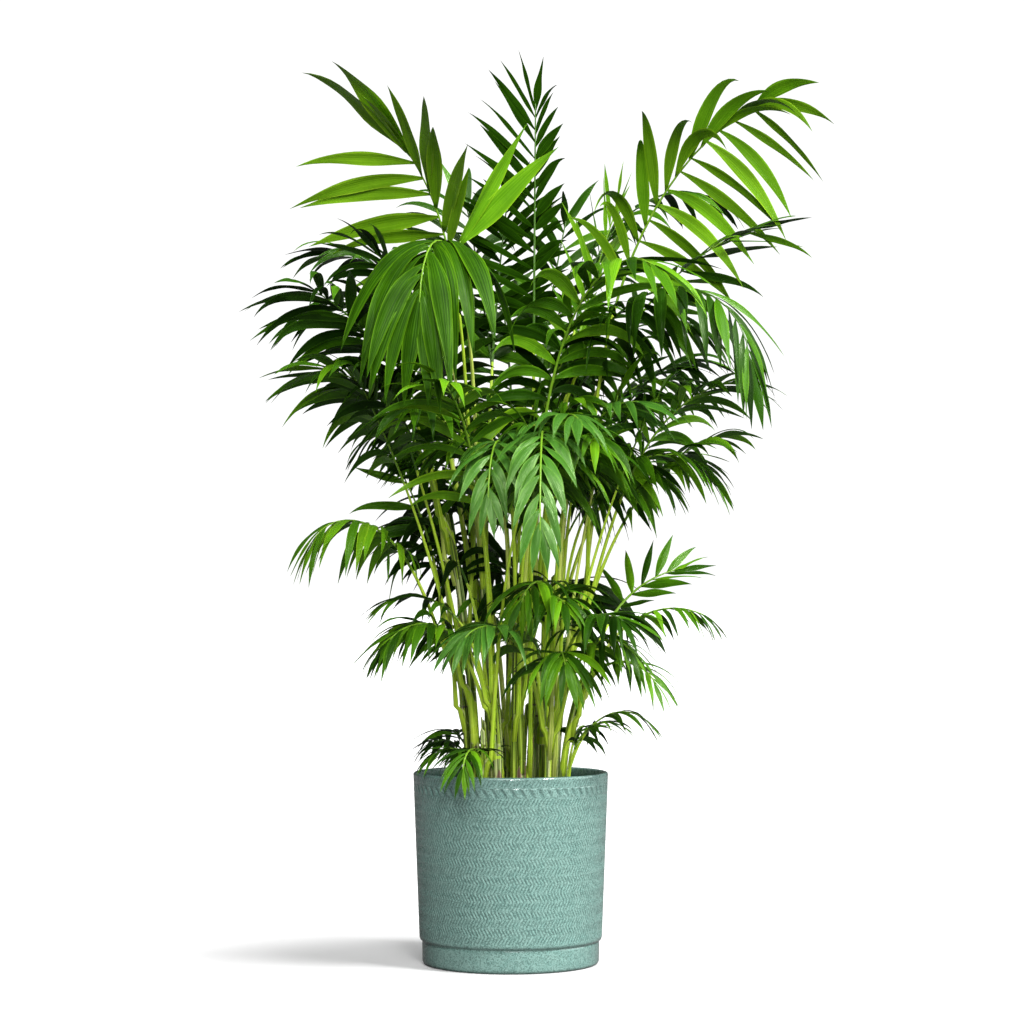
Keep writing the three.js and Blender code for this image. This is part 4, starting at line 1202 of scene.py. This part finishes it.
# Three-sided rods round a course, to try whether a leaflet touches it.
def limbOf(name, points, radii):
    ring = np.array([(cos(a), sin(a), 0) for a in (0, 2.1, 4.2)])
    faces = [(a + i, a + (i + 1) % 3, a + 3 + (i + 1) % 3, a + 3 + i)
             for a in range(0, 3 * len(points) - 3, 3) for i in range(3)]
    return known(name, np.vstack([point + radius * ring for point, radius in zip(points, radii)]), faces)


# the slot of each piece of fronds, and how the names of its fronds start
groups = {
    "fronds_top": ["leaf_bright", "top_", "spear_", "front_hanging"],
    "fronds_left": ["leaf", "left_"],
    "fronds_right": ["leaf", "right_"],
    "fronds_front": ["leaf", "front_", "centre_"],
    "fronds_back": ["leaf_dark", "back_"],
    "young_palms": ["leaf", "young_", "seedling_"],
    "inner_fronds_back": ["leaf_dark", "filler_behind"],
    "inner_fronds_front": ["leaf", "filler_"],
}


def groupOf(name):
    group = next(group for group, (_, *starts) in groups.items() if name.startswith(tuple(starts)))
    return "inner_fronds_back" if name in moreRows and group != "fronds_top" else group


def buildPalm():
    plants, canes = makePlants()
    limbs = []
    for name, row in canes.items():
        points, radii, _ = zip(*[caneAt(row, rise) for rise in np.linspace(0, row[4], 12)])
        limbs.append(limbOf(name, points, radii))
    for name, plant in plants.items():
        limbs += [limbOf(name, frond["points"], ribRadii(frond) + 0.4) for frond in plant["fronds"]]
    blades = []
    pieces = {group: newPiece() for group in groups}
    stalks = {group: newPiece() for group in groups}
    for number, (name, plant) in enumerate(plants.items()):
        group = groupOf(name)
        # fronds behind the clump without a look of their own take the darkest row, as painted shade
        look = {**usualLook, **looks.get(name, {"tint": 0} if "behind" in name else {})}
        others = [limb for limb in limbs if limb["name"] != name]
        petioleTint = stalkNames.index(rib["kinds"][number % len(rib["kinds"])])
        ribTint = stalkNames.index("ribDark" if look["tint"] in rib["darkFor"] else "ribGreen")
        cards = []
        for i, frond in enumerate(plant["fronds"]):
            makeRib(stalks[group], frond, petioleTint, ribTint)
            cards += growLeaflets(pieces[group], frond, number + 17 * i, look, others, blades)
        if "stem" in plant:
            makeCane(stalks[group], plant["stem"], number, 0)
        blades.append(joinCards(name, cards))
    for group, (slotName, *_) in groups.items():
        nodes = [name for name in (*frondRows, *youngRows) if groupOf(name) == group]
        stalksName = group.replace("fronds", "stalks").replace("palms", "stalks")
        finishPiece(group, pieces[group], leafMaterials, nodes)
        finishPiece(stalksName, stalks[group], stalkMaterials, [])
        triangles = sum(len(face) - 2 for face in pieces[group]["faces"])
        print(group, "leaflets", len(pieces[group]["points"]), "triangles", triangles)
    thin = newPiece()
    for number, (name, row) in enumerate(canes.items()):
        main = name in caneRows
        bark = newPiece() if main else thin
        makeCane(bark, row, number, sheath["count" if main else "thinCount"])
        borne = [frond for plant in plants.values() for frond in plant["fronds"] if frond.get("bearer") == name]
        for k, frond in enumerate(borne):
            kind = wrap["kinds"][(number + k) % len(wrap["kinds"])]
            addWrap(bark, frond, row, stalkNames.index(kind))
        if main:
            finishPiece(name + "_bark", bark, stalkMaterials, [name])
    finishPiece("young_canes", thin, stalkMaterials, [])


addCamera()
setWorld()
addFloor()
addLights()
print("studio ready")
makePot()
print("pot made")
makeSoil()
print("soil made")
buildPalm()
print("palm grown")
